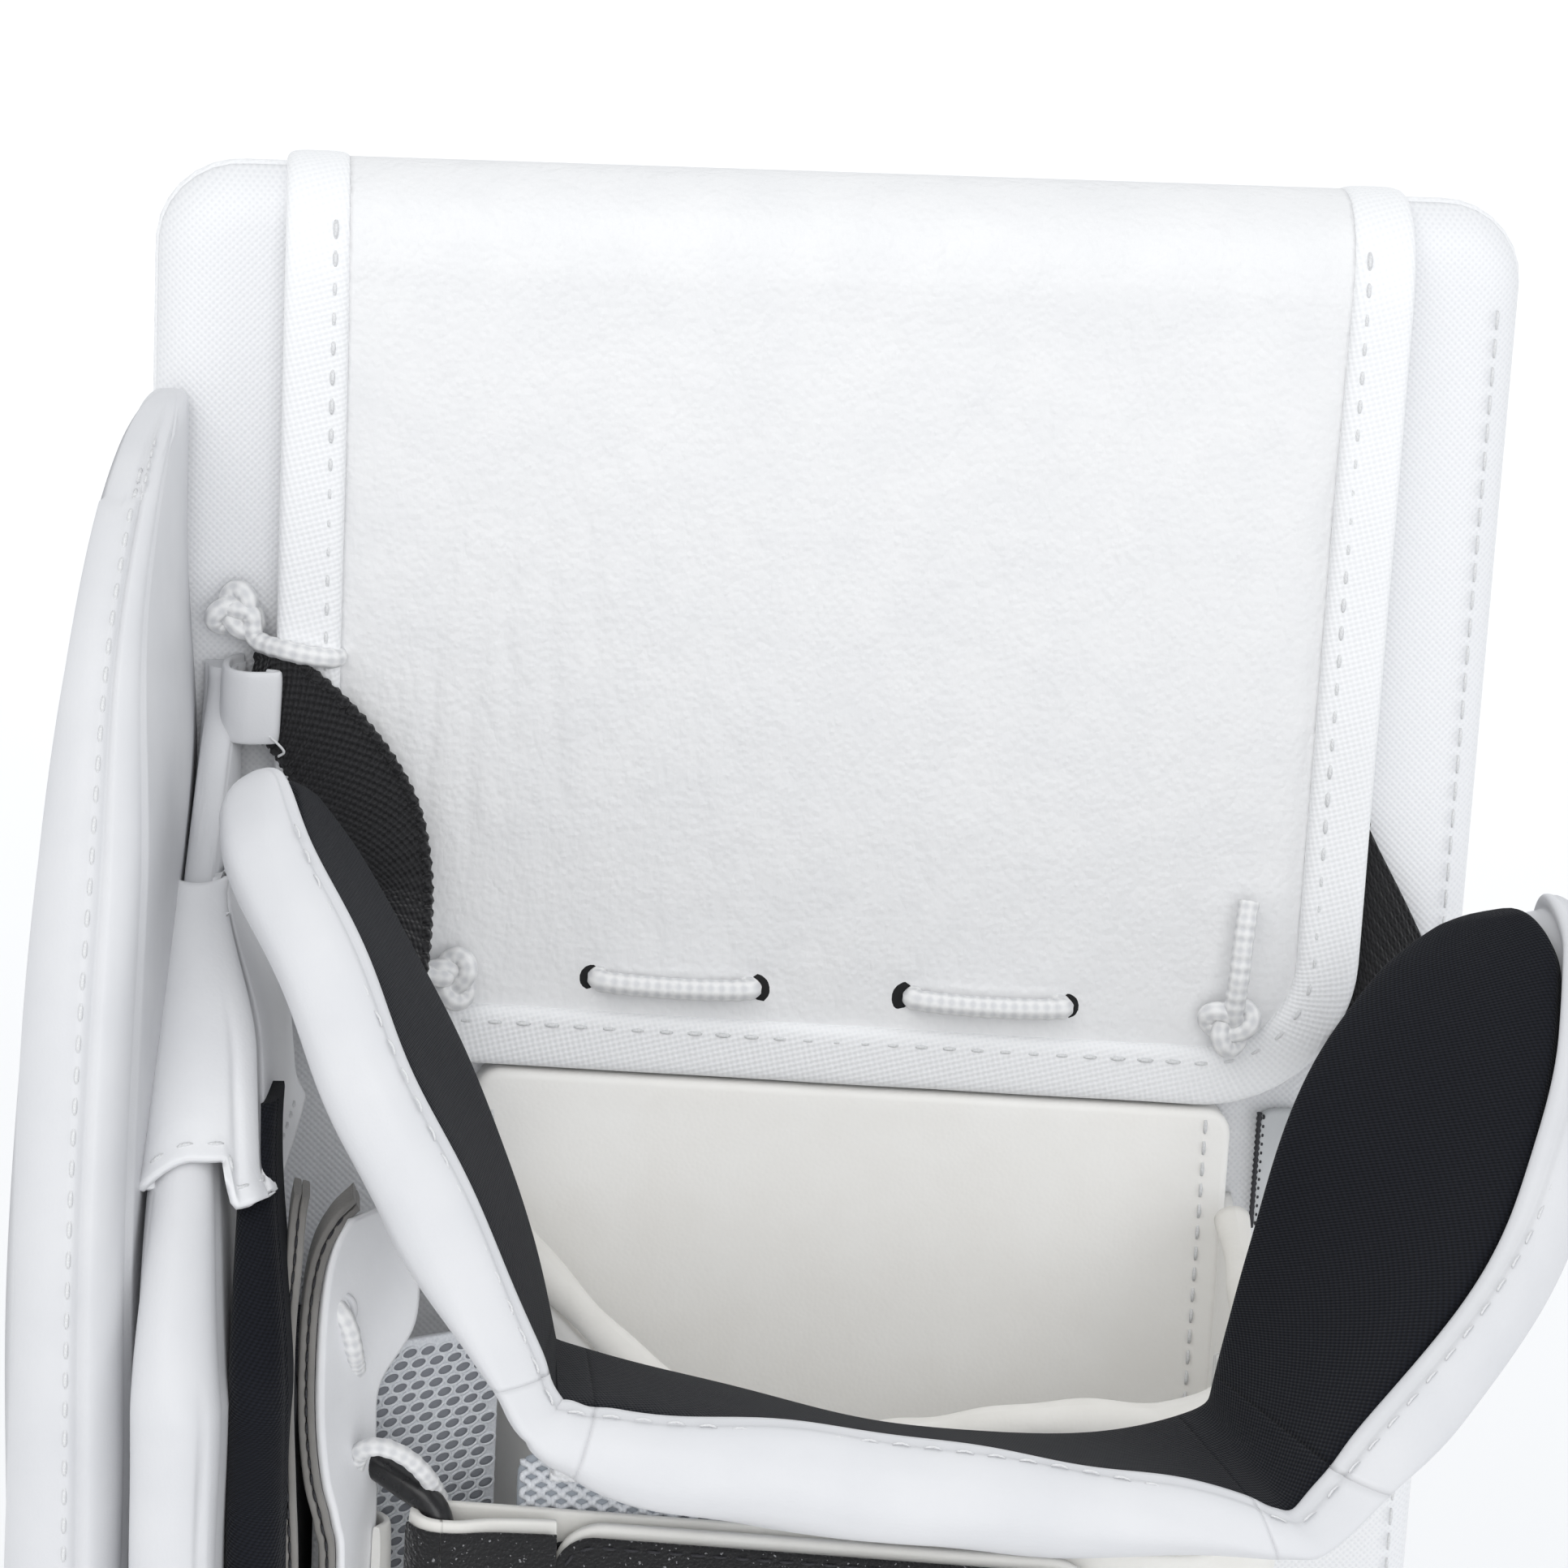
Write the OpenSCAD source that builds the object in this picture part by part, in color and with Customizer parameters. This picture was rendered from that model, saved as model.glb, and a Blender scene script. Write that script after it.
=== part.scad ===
// Goalie blocker glove, stick hand, stood on its finger end and seen from the palm side.
// Millimetres. X runs from the thumb side to the little finger, Y from the palm to the
// front of the board, Z from the finger end up to the forearm. The palm face of the board is y = 0.

/* [Board] */
// Width of the board
board_w = 203; // [190:1:215]
// Length of the board
board_l = 381; // [360:1:400]
// Thickness of the board
board_t = 22; // [18:0.5:30]
// Radius of the board's corners
board_corner_r = 10; // [4:0.5:20]
// Thickness of the covers sewn round the board
cover_t = 1.5; // [1:0.1:2.5]
// Thickness of the plastic stiffening sheet
stiffener_t = 2; // [1:0.1:4]

/* [Forearm flap] */
// Width of the flap over its bindings
flap_w = 166; // [140:1:180]
// Length of the flap from its fold to its laced edge
flap_l = 141; // [120:1:160]
// Thickness of the padded flap
flap_t = 6.5; // [6:0.1:9]
// Thickness of the flap's leather
flap_skin_t = 1.6; // [1:0.1:2]
// Radius of the flap's lower corners
flap_corner_r = 24; // [10:0.5:30]
// Width of the woven binding
binding_w = 9.5; // [7:0.5:12]
// How far the binding stands proud of the leather
binding_proud = 0.8; // [0.4:0.1:1.5]

/* [Sidewall] */
// Height of the sidewall above the board
sidewall_h = 80; // [60:1:95]
// Distance of the sidewall's upper tip from the top of the board
sidewall_drop = 32; // [20:1:50]
// Length over which the sidewall rises to its full height
sidewall_rise_l = 127; // [100:1:160]
// Thickness of the sidewall at the board
sidewall_base_t = 7; // [5:0.5:9]
// Thickness of the sidewall at its crest
sidewall_crest_t = 16; // [13:0.5:18]
// Outward lean of the sidewall's inner face, millimetres for each millimetre of height
sidewall_lean = 0.1; // [0.08:0.01:0.12]

/* [Thumb guard] */
// Height of the thumb guard above the board
guard_h = 86; // [70:1:95]
// Height of the thumb guard's upper tip over the floor
guard_top = 308; // [300:1:312]
// Height of the thumb guard's lower end over the floor
guard_bottom = 66; // [40:1:90]
// Thickness of the guard's white shell
guard_shell_t = 12.5; // [10:0.5:14]
// Thickness of the guard's knit lining
guard_lining_t = 8; // [6:0.5:9]
// Thickness of the leather strap that wraps the guard
guard_strap_t = 1.4; // [1:0.1:2]
// Width of the leather strap that wraps the guard
guard_strap_w = 36; // [30:1:44]

/* [Cuff] */
// Width of the cuff's base between its two folds
cuff_w = 101; // [92:1:108]
// Width of the cuff's padded strip from wrist to rim
cuff_strip_w = 48; // [40:1:54]
// Thickness of the cuff's white shell
cuff_shell_t = 8; // [6:0.5:9]
// Thickness of the cuff's knit lining
cuff_lining_t = 4; // [3:0.5:5]
// Height of the cuff's hinge over the floor
cuff_hinge_z = 224; // [216:1:228]
// Height of the left wing's tip above the hinge
cuff_left_rise = 76; // [66:1:84]
// Height of the right wing's tip above the hinge
cuff_right_rise = 56; // [46:1:64]

/* [Hand] */
// Room for the thumb between the side panel and the hand pouch
thumb_room = 21.7; // [21:0.1:26]
// Outside width of the hand pouch
hand_w = 115; // [112:1:122]
// Outside depth of the hand pouch from the board
hand_d = 50; // [46:1:54]
// Wall of the hand pouch
pouch_wall = 2.5; // [2:0.1:3.5]
// Height of the pouch's rim at the board
pouch_back_z = 226; // [220:1:232]
// Height of the pouch's rim at the palm
pouch_palm_z = 205; // [200:1:209]
// Height of the pouch's lower end, where the fingers begin
knuckle_z = 112; // [106:1:118]
// Thickness of the back-of-hand pad
backhand_t = 6; // [4:0.5:8]

/* [Fingers] */
// Outside diameter of a finger stall
finger_d = 26; // [24:0.5:27]
// Gap between two finger stalls
finger_gap = 2; // [1:0.25:3]
// Length of a finger stall
finger_l = 84; // [70:1:95]
// Wall of the finger and thumb stalls
stall_wall = 3; // [2:0.25:4]
// Outside diameter of the thumb stall
thumb_d = 23; // [20:0.5:24]
// Length of the thumb stall
thumb_l = 80; // [60:1:95]
// Height of the thumb stall's mouth over the floor
thumb_z = 148; // [138:1:152]

/* [Wrist strap] */
// Width of the wrist strap
strap_w = 38; // [30:1:40]
// Thickness of the strap's leather
strap_t = 2.2; // [1.6:0.1:3]
// Height of the strap's upper edge over the floor
strap_top = 197; // [192:1:199]
// Thickness of the hook and loop tapes
tape_t = 1.1; // [0.8:0.1:1.4]
// Diameter of the ring's bar
ring_bar_d = 4.4; // [3.6:0.2:5]

/* [Cords] */
// Diameter of the braided lacing cord
cord_d = 3.2; // [2.6:0.1:3.6]
// Width of the woven elastic
elastic_w = 25.4; // [20:0.1:30]
// Thickness of the woven elastic
elastic_t = 1.8; // [1.2:0.1:2.4]

/* [Clearances] */
// Gap between soft pieces that lie on each other
lay_gap = 0.3; // [0.2:0.05:0.5]
// Gap round what moves
run_gap = 0.5; // [0.4:0.05:0.8]

/* [Hidden] */
$fn = 48;
// Board
board_top_corner = board_l - board_corner_r;
flap_top = board_l + lay_gap + flap_skin_t;
flap_bottom = flap_top - flap_l;
flap_face = -flap_t;
knot_r = cord_d + 0.4;
knot_bar = cord_d / 2 - 0.1;
lace_z = flap_bottom + binding_w + knot_r + knot_bar + lay_gap;
lace_span = [-56, -34, -10, 14, 38, 63];
// Sidewall: inner and outer faces lean outwards from the board's thumb edge
edge_x = -board_w / 2;
sidewall_top = board_l - sidewall_drop;
sidewall_full = sidewall_top - sidewall_rise_l;
sidewall_out_lean = sidewall_lean + (sidewall_crest_t - sidewall_base_t) / sidewall_h;
rise_steps = 5;
// Thumb guard: parallel to the sidewall's inner face
guard_x = edge_x + sidewall_base_t + guard_strap_t + 2 * lay_gap;
guard_full = guard_top - guard_h;
// Side panel beside the thumb
panel_t = 2;
panel_x = guard_x + guard_shell_t + guard_lining_t + guard_strap_t + 3 * lay_gap;
panel_h = hand_d + 12;
panel_bottom = knuckle_z - 12;
// Hand
hand_left = panel_x + thumb_room;
hand_right = hand_left + hand_w;
hand_x = (hand_left + hand_right) / 2;
pouch_r = 20;
palm_y = -hand_d;
palm_panel_t = 2;
palm_flat = [hand_left + pouch_r, hand_right - pouch_r];
rim_slope = (pouch_back_z - pouch_palm_z) / hand_d;
rim_r = 3;
// Fingers
finger_pitch = finger_d + finger_gap;
finger_y = -(backhand_t + 2 * lay_gap + 7 + finger_d / 2);
finger_x = [for (i = [0 : 3]) hand_x + (i - 1.5) * finger_pitch];
finger_top = knuckle_z - run_gap;
stall_bore = finger_d / 2 - stall_wall;
thumb_bore = thumb_d / 2 - stall_wall;
// Thumb
thumb_x = (hand_left + panel_x + panel_t - sidewall_lean * hand_d) / 2;
thumb_y = -hand_d + 2;
thumb_top = thumb_z - run_gap;
web_t = 2.5;
// Cuff: hinge line in front of the palm heel
cuff_x = hand_x - 4;
cuff_hinge_y = palm_y - 15;
cuff_left_x = cuff_x - cuff_w / 2;
cuff_right_x = cuff_x + cuff_w / 2;
wing_gap = 0.4;
// Wrist strap layers, counted from the palm outwards
strap_y = palm_y - palm_panel_t - 2 * lay_gap;
strap_bottom = strap_top - strap_w;
hook_y = strap_y - strap_t - lay_gap;
tail_y = hook_y - tape_t - lay_gap;
loop_y = tail_y - strap_t - lay_gap;
tail_start = hand_left - 2;
tail_end = hand_right - pouch_r - 6;
ring_r = ring_bar_d / 2;
ring_x = hand_left - 9;
ring_y = strap_y - strap_t - ring_r - lay_gap;
ring_far = [ring_x - 10.5, ring_y + 7];

// Vectors
function unit(v) = v / norm(v);
function mix(a, b, t) = a + (b - a) * t;
function signed_root(v, e) = sign(v) * pow(abs(v), e);

// A closed solid through a list of rings that have the same number of points
module loft(rings) {
    n = len(rings[0]);
    m = len(rings);
    points = concat([for (r = rings) each r], [mean(rings[0]), mean(rings[m - 1])]);
    sides = [for (i = [0 : m - 2], j = [0 : n - 1]) let (k = (j + 1) % n)
        each [[i * n + j, i * n + k, (i + 1) * n + j], [i * n + k, (i + 1) * n + k, (i + 1) * n + j]]];
    low = [for (j = [0 : n - 1]) [m * n, (j + 1) % n, j]];
    high = [for (j = [0 : n - 1]) [m * n + 1, (m - 1) * n + j, (m - 1) * n + (j + 1) % n]];
    polyhedron(concat(points), concat(sides, low, high), convexity = 8);
}
function mean(list) = [for (i = [0 : 2]) sum([for (p = list) p[i]]) / len(list)];
function sum(list) = list * [for (v = list) 1];

// A round tube along a list of points, its rings carried along without twist
function tangents(path) = [for (i = [0 : len(path) - 1])
    unit(path[min(i + 1, len(path) - 1)] - path[max(i - 1, 0)])];
function carried(ts, first, i) = i == 0 ? unit(first - (first * ts[0]) * ts[0])
    : let (last = carried(ts, first, i - 1)) unit(last - (last * ts[i]) * ts[i]);
module tube(path, r, sides = 8, first = [0.3, 0.2, 1]) {
    ts = tangents(path);
    loft([for (i = [0 : len(path) - 1]) let (a = carried(ts, first, i), b = cross(ts[i], a))
        [for (k = [0 : sides - 1]) path[i] + r * (cos(360 * k / sides) * a - sin(360 * k / sides) * b)]]);
}

// A flat tape along a list of points: width across the given direction, rounded thickness
module tape(path, width_dirs, w, t) {
    ts = tangents(path);
    loft([for (i = [0 : len(path) - 1]) let (u = unit(width_dirs[i]), v = unit(cross(ts[i], u)))
        [for (c = [[-1, -1], [-1, 1], [1, 1], [1, -1]]) path[i] + u * c[0] * w / 2 + v * c[1] * t / 2]]);
}

// A plate with its outline in X and Z, between two depths
module plate(y_palm, y_front) {
    translate([0, y_front, 0]) rotate([90, 0, 0]) linear_extrude(y_front - y_palm) children();
}
module rounded(x0, x1, z0, z1, r) {
    translate([x0 + r, z0 + r]) offset_free(x1 - x0 - 2 * r, z1 - z0 - 2 * r, r);
}
module offset_free(w, h, r) {
    translate([-r, 0]) square([w + 2 * r, h]);
    translate([0, -r]) square([w, h + 2 * r]);
    for (x = [0, w], z = [0, h]) translate([x, z]) circle(r);
}
// The board's outline: square at the floor, round at the forearm end
module board_outline(inset) {
    half = board_w / 2 - inset;
    r = board_corner_r - inset;
    translate([-half, inset]) square([2 * half, board_top_corner - inset]);
    translate([-half + r, board_top_corner - 1]) square([2 * half - 2 * r, board_corner_r - inset + 1]);
    for (s = [-1, 1]) translate([s * (half - r), board_top_corner]) circle(r);
}

// Board
module board_front_cover() {
    color("whitesmoke") difference() {
        plate(cover_t, board_t) board_outline(0);
        plate(cover_t - 1, board_t - cover_t) board_outline(cover_t);
    }
}
module board_foam() {
    color("gainsboro")
        plate(cover_t + stiffener_t + 2 * lay_gap, board_t - cover_t - lay_gap)
        board_outline(cover_t + lay_gap);
}
module board_stiffener() {
    color("lightgray") plate(cover_t + lay_gap, cover_t + stiffener_t + lay_gap)
        board_outline(cover_t + lay_gap);
}
module board_back_cover() {
    color("white") plate(0, cover_t) board_outline(0);
}

// Forearm flap, folded over the top of the board and laced at its lower edge
module flap_outline(inset) {
    half = flap_w / 2 - inset;
    low = flap_bottom + inset;
    r = max(flap_corner_r - inset, 2);
    translate([-half, low + r]) square([2 * half, flap_top - low - r]);
    translate([-half + r, low]) square([2 * half - 2 * r, r + 1]);
    for (s = [-1, 1]) translate([s * (half - r), low + r]) circle(r);
}
module flap_leather() {
    inset = binding_w + lay_gap;
    half = flap_w / 2 - inset;
    color("white") difference() {
        union() {
            plate(flap_face, flap_face + flap_skin_t) flap_outline(inset);
            translate([-half, flap_face, board_l + lay_gap]) cube([2 * half, board_t - flap_face,
            flap_skin_t]);
        }
        for (x = lace_span) translate([x, flap_face - 1, lace_z]) rotate([-90, 0, 0])
            cylinder(h = flap_skin_t + 2, r = cord_d / 2 + 2 * lay_gap);
    }
}
module flap_foam() {
    half = flap_w / 2 - binding_w - 2 * lay_gap;
    low = lace_z + cord_d + 2;
    color("gainsboro") translate([-half, flap_face + flap_skin_t + lay_gap, low])
        cube([2 * half, flap_t - flap_skin_t - 2 * lay_gap, board_l - low]);
}
module flap_binding() {
    color("white") {
        plate(flap_face - binding_proud, -lay_gap) difference() {
            flap_outline(0);
            flap_outline(binding_w);
            translate([-flap_w / 2 + binding_w, flap_bottom + 2 * binding_w])
                square([flap_w - 2 * binding_w, flap_l]);
        }
        for (s = [-1, 1]) translate([s * (flap_w - binding_w) / 2 - binding_w / 2,
        flap_face - binding_proud, board_l + lay_gap])
            cube([binding_w, board_t - flap_face + binding_proud, flap_skin_t + binding_proud]);
    }
}
// The lace dives and rises at each hole in turn, with a knot and a tail at both ends
lace_out = flap_face - cord_d / 2 - lay_gap;
lace_in = (flap_face + flap_skin_t) / 2;
lace_bend = 2.5;
function lace_level(i) = i % 2 == 0 ? lace_out : lace_in;
function hole_points(i) = let (x = lace_span[i], a = lace_level(i), b = lace_level(i + 1))
    [if (i > 0) [x - lace_bend, a, lace_z], [x, mix(a, b, 0.25), lace_z], [x, mix(a, b, 0.75), lace_z],
     if (i < 5) [x + lace_bend, b, lace_z]];
lace_tail_y = lace_out - 2 * knot_bar - cord_d / 2;
module flap_lace() {
    left = lace_span[0];
    right = lace_span[5];
    color("white") tube(concat(
        [[left - 14, lace_tail_y, lace_z + 1], [left - 6, lace_tail_y, lace_z + 1], [left - 2,
        lace_tail_y + 1.5, lace_z],
         [left, lace_out - 2, lace_z]],
        [for (i = [0 : 5]) each hole_points(i)],
        [[right, lace_out - 2, lace_z], [right, lace_tail_y + 1.5, lace_z + 2], [right + 0.5,
        lace_tail_y, lace_z + 6],
         [right + 1, lace_tail_y, lace_z + 20]]), cord_d / 2);
}
module knot(at) {
    translate(at) rotate([90, 0, 0]) rotate_extrude() translate([knot_r, 0]) circle(knot_bar, $fn = 24);
}
module flap_lace_knots() {
    color("white") for (x = [lace_span[0], lace_span[5]]) knot([x, flap_face - knot_bar - lay_gap / 2,
        lace_z]);
}
side_lace_at = [edge_x + 12.5, 0, board_l - 65];
module side_lace() {
    y0 = -lay_gap;
    tail = flap_face - binding_proud - cord_d / 2 - lay_gap;
    p = side_lace_at;
    color("white") tube([[p[0], y0, p[2]], [p[0], y0 - 3.5, p[2]], [p[0] + 1, y0 - 6.5, p[2] - 0.5],
        [p[0] + 4, tail, p[2] - 1], [p[0] + 8, tail, p[2] - 2], [p[0] + 14, tail, p[2] - 3]], cord_d / 2);
}
module side_lace_knot() {
    color("white") knot(side_lace_at + [0, -knot_bar - lay_gap / 2, 0]);
}

// Sidewall along the thumb edge: a leaning wall whose crest falls to nothing at its upper tip
function sidewall_at(z) = z <= sidewall_full ? sidewall_h
    : sidewall_h * sqrt(max(1 - pow((z - sidewall_full) / sidewall_rise_l, 2), 0.004));
sidewall_levels = concat([0, sidewall_full],
    [for (i = [1 : rise_steps]) sidewall_full + sidewall_rise_l * sin(90 * i / rise_steps)]);
function wall_ring(z, inset) = let (h = sidewall_at(z) - inset, g = lay_gap + inset,
        xo = edge_x + inset, xi = edge_x + sidewall_base_t - inset, c = min(h - g, 5 - inset))
    [[xi, -g, z], [xi - sidewall_lean * (h - c), -(h - c), z], [xi - sidewall_lean * h - c, -h, z],
     [xo - sidewall_out_lean * h + c, -h, z], [xo - sidewall_out_lean * (h - c), -(h - c), z], [xo, -g, z]];
sidewall_skin_t = 1.3;
module sidewall_cover() {
    color("white") difference() {
        loft([for (z = sidewall_levels) wall_ring(z, 0)]);
        loft([for (z = concat([sidewall_skin_t], [for (i = [1 : len(sidewall_levels) - 2])
        sidewall_levels[i]]))
            wall_ring(z, sidewall_skin_t)]);
    }
}
module sidewall_foam() {
    color("gainsboro") loft([for (z = concat([sidewall_skin_t + lay_gap],
        [for (i = [1 : len(sidewall_levels) - 2])
        sidewall_levels[i] - lay_gap])) wall_ring(z, sidewall_skin_t + lay_gap)]);
}
module sidewall_edge_strip() {
    w = sidewall_crest_t - 9;
    t = 1;
    color("whitesmoke") loft([for (z = [for (i = [0 : len(sidewall_levels) - 2]) max(sidewall_levels[i],
        6)])
        let (h = sidewall_at(z) + lay_gap, x = edge_x + sidewall_base_t - sidewall_lean * h - 5)
        [[x, -h, z], [x, -h - t, z], [x - w, -h - t, z], [x - w, -h, z]]]);
}

// Thumb guard: a padded slab inside the sidewall, tapered to its upper tip
function guard_at(z) = z <= guard_full ? guard_h * (z < guard_bottom + 20 ? 0.85 : 1)
    : guard_h * max(1 - pow((z - guard_full) / guard_h, 1.3), 0.06);
function guard_thin(z) = z <= guard_full ? 1 : max(1 - 0.75 * (z - guard_full) / (guard_h * 0.8), 0.35);
guard_levels = concat([guard_bottom, guard_bottom + 20, guard_full], [for (i = [1 : 5])
    guard_full + guard_h * i / 5]);
function slab_ring(z, x0, x1, h, grow = 0, foot = lay_gap) = let (g = foot, c = min((x1 - x0) / 2 - 0.2,
    h - g - 0.2, 5))
    [[x1 + grow - sidewall_lean * g, -g, z], [x1 + grow - sidewall_lean * (h - c), -(h - c), z],
     [x1 - c * 0.7 - sidewall_lean * h, -h - grow, z], [x0 + c * 0.7 - sidewall_lean * h, -h - grow, z],
     [x0 - grow - sidewall_lean * (h - c), -(h - c), z], [x0 - grow - sidewall_lean * g, -g, z]];
function guard_ring(z, grow = 0, foot = lay_gap) =
    slab_ring(z, guard_x, guard_x + guard_shell_t * guard_thin(z), guard_at(z), grow, foot);
lining_x = guard_x + guard_shell_t + lay_gap;
lining_levels = [guard_bottom + 4, guard_bottom + 24, guard_full - 4, guard_full + 10, guard_full + 19];
function guard_lining_ring(z, grow = 0) = slab_ring(z, lining_x, lining_x + guard_lining_t,
    min(guard_at(z), guard_h) - 5, grow);
module thumb_guard_shell() {
    color("white") loft([for (z = guard_levels) guard_ring(z)]);
}
module thumb_guard_lining() {
    color("#1c1d22") loft([for (z = lining_levels) guard_lining_ring(z)]);
}
strap_foot = flap_t + binding_proud + 3;
wrap_bottom = guard_full + 25.5;
strap_levels = [for (i = [0 : 4]) wrap_bottom + guard_strap_w * i / 4];
module thumb_guard_strap() {
    color("white") difference() {
        loft([for (z = strap_levels) guard_ring(z, lay_gap + guard_strap_t, strap_foot)]);
        loft([for (z = strap_levels)
        guard_ring(z + (z == strap_levels[0] ? -1 : z == strap_levels[4] ? 1 : 0), 2 * lay_gap,
        strap_foot - 1)]);
    }
}

// Cuff: three padded panels of one flared strip, traversed from the left tip to the right tip
fold_left = [cuff_left_x, cuff_hinge_y, cuff_hinge_z];
fold_right = [cuff_right_x, cuff_hinge_y, cuff_hinge_z];
left_inner = [[-30, 36, 70], [-18, 32, 50], [-4.5, 18, 21], [0, 0, 0]];
left_flare = [[-10, -30, 14], [-14, -45, 15], [-11, -46, 14], [-2, -47, 12]];
left_share = [0.4, 0.85, 1, 1];
right_inner = [[0, 0, 0], [5, 14, 12], [16, 32, 31], [36, 48, 44]];
right_flare = [[3, -48, 0], [24, -40, 9], [30, -34, 8], [18, -24, 12]];
right_share = [1, 1, 0.95, 0.6];
// A smooth curve through a list of values, and the list sampled along it
function spline(list, u) = let (i = min(floor(u), len(list) - 2), t = u - i, a = list[max(i - 1, 0)],
        b = list[i], c = list[i + 1], d = list[min(i + 2, len(list) - 1)])
    (2 * b + (c - a) * t + (2 * a - 5 * b + 4 * c - d) * t * t + (3 * b - a - 3 * c + d) * t * t * t) / 2;
function sampled(list) = [for (i = [0 : wing_last]) spline(list, 3 * i / wing_last)];
wing_last = 12;
left_path = sampled([for (p = left_inner) fold_left + [p[0], p[1], p[2] * cuff_left_rise / 76]]);
right_path = sampled([for (p = right_inner) fold_right + [p[0], p[1], p[2] * cuff_right_rise / 56]]);
function flares(list, share) = sampled([for (i = [0 : 3]) unit(list[i]) * cuff_strip_w * share[i]]);
left_wide = flares(left_flare, left_share);
right_wide = flares(right_flare, right_share);
function outward(path, wide) = let (ts = tangents(path)) [for (i = [0 : len(path) - 1]) unit(cross(ts[i],
    wide[i]))];
// A mitred normal, long enough to keep both panels at their full thickness
function mitre(a, b) = (a + b) / (1 + a * b);
left_out = outward(left_path, left_wide);
right_out = outward(right_path, right_wide);
base_left_out = unit(cross([1, 0, 0], left_wide[wing_last]));
base_right_out = unit(cross([1, 0, 0], right_wide[0]));
left_fold_out = mitre(left_out[wing_last], base_left_out);
right_fold_out = mitre(right_out[0], base_right_out);
strip_sides = 12;
function strip_ring(at, wide, out, low, high, from, to) = [for (k = [0 : strip_sides - 1])
    let (a = -360 * (k + 0.5) / strip_sides)
    at + wide * ((from + to) / 2 + (to - from) / 2 * signed_root(cos(a), 0.6))
       + out * ((low + high) / 2 + (high - low) / 2 * signed_root(sin(a), 0.6))];
module strip(path, wide, out, low, high, from, to) {
    loft([for (i = [0 : len(path) - 1]) strip_ring(path[i], wide[i], out[i], low, high, from, to)]);
}
module left_strip(low, high, from, to) {
    strip(left_path, left_wide, [for (i = [0 : wing_last]) i == wing_last ? left_fold_out : left_out[i]],
        low, high, from, to);
}
module right_strip(low, high, from, to) {
    strip(right_path, right_wide, [for (i = [0 : wing_last]) i == 0 ? right_fold_out : right_out[i]],
        low, high, from, to);
}
module base_strip(low, high, from, to) {
    middle_wide = (left_wide[wing_last] + right_wide[0]) / 2;
    middle_out = unit(base_left_out + base_right_out);
    strip([fold_left + [wing_gap, 0, 0], (fold_left + fold_right) / 2, fold_right - [wing_gap, 0, 0]],
        [left_wide[wing_last], middle_wide, right_wide[0]], [left_fold_out, middle_out, right_fold_out],
        low, high, from, to);
}
lining_from = 0.02;
lining_to = 0.84;
lining_gap = 0.8;
module cuff_base_shell() { color("white") base_strip(lining_gap / 2, cuff_shell_t, 0, 1); }
module cuff_base_lining() { color("#17181d") base_strip(-cuff_lining_t, -lining_gap / 2, lining_from,
    lining_to); }
module cuff_left_shell() { color("white") left_strip(lining_gap / 2, cuff_shell_t, 0, 1); }
module cuff_left_lining() { color("#17181d") left_strip(-cuff_lining_t, -lining_gap / 2, lining_from,
    lining_to); }
module cuff_right_shell() { color("white") right_strip(lining_gap / 2, cuff_shell_t, 0, 1); }
module cuff_right_lining() { color("#17181d") right_strip(-cuff_lining_t, -lining_gap / 2, lining_from,
    lining_to); }

// A solid drawn in Y and Z, extruded along X
module side_extrude(x0, x1) {
    translate([x0, 0, 0]) rotate([90, 0, 90]) linear_extrude(x1 - x0) children();
}
heel_face = palm_y - lay_gap - palm_panel_t;
module cuff_hinge_tape() {
    y0 = heel_face - lay_gap;
    z0 = strap_top + 2.5;
    y1 = cuff_hinge_y - 0.2;
    color("white") side_extrude(cuff_left_x + 4, cuff_right_x - 4) polygon([[y0, z0], [y0 - 2, z0],
        [y0 - 2, z0 + 3.5],
        [y1, cuff_hinge_z - 5.5], [y1, cuff_hinge_z - 3], [y1 + 1.5, cuff_hinge_z - 3], [y0, z0 + 6]]);
}

// Elastics between the board and the wings
elastic_left_z = board_l - 82;
elastic_right_z = board_l - 91;
module elastic_left() {
    x = edge_x + 15;
    z = elastic_left_z;
    color("#101014") tape([[x, -2.2, z], [x + 1, -6, z - 0.5], [x + 1.5, -9.6, z - 1], [x + 6, -11, z - 5],
        [x + 14, -14, z - 14], [x + 21, -20, z - 25], [x + 24, -28, z - 35]],
        [[0, 0, 1], [0, 0, 1], [0, 0, 1], [0.5, 0.05, 0.9], [0.7, 0.1, 0.7], [0.8, -0.1, 0.6], [0.8,
        -0.2, 0.5]],
        elastic_w * 0.8, elastic_t);
}
module elastic_right() {
    x = (flap_w / 2 + board_w / 2) / 2;
    z = elastic_right_z;
    color("#101014") tape([[x, -1.8, z], [x, -2.6, z - 10], [x - 0.5, -8, z - 20], [x - 4, -12, z - 28],
        [x - 9, -16, z - 35]],
        [[1, 0, -0.2], [1, 0, -0.2], [1, 0.1, -0.3], [1, 0.2, -0.4], [1, 0.3, -0.5]], elastic_w * 0.65,
        elastic_t);
}
module elastic_tab() {
    color("white") plate(-1.8, -lay_gap)
        rounded(edge_x + 16.5, edge_x + 18.2, elastic_left_z - 11, elastic_left_z + 4, 0.6);
}

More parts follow.
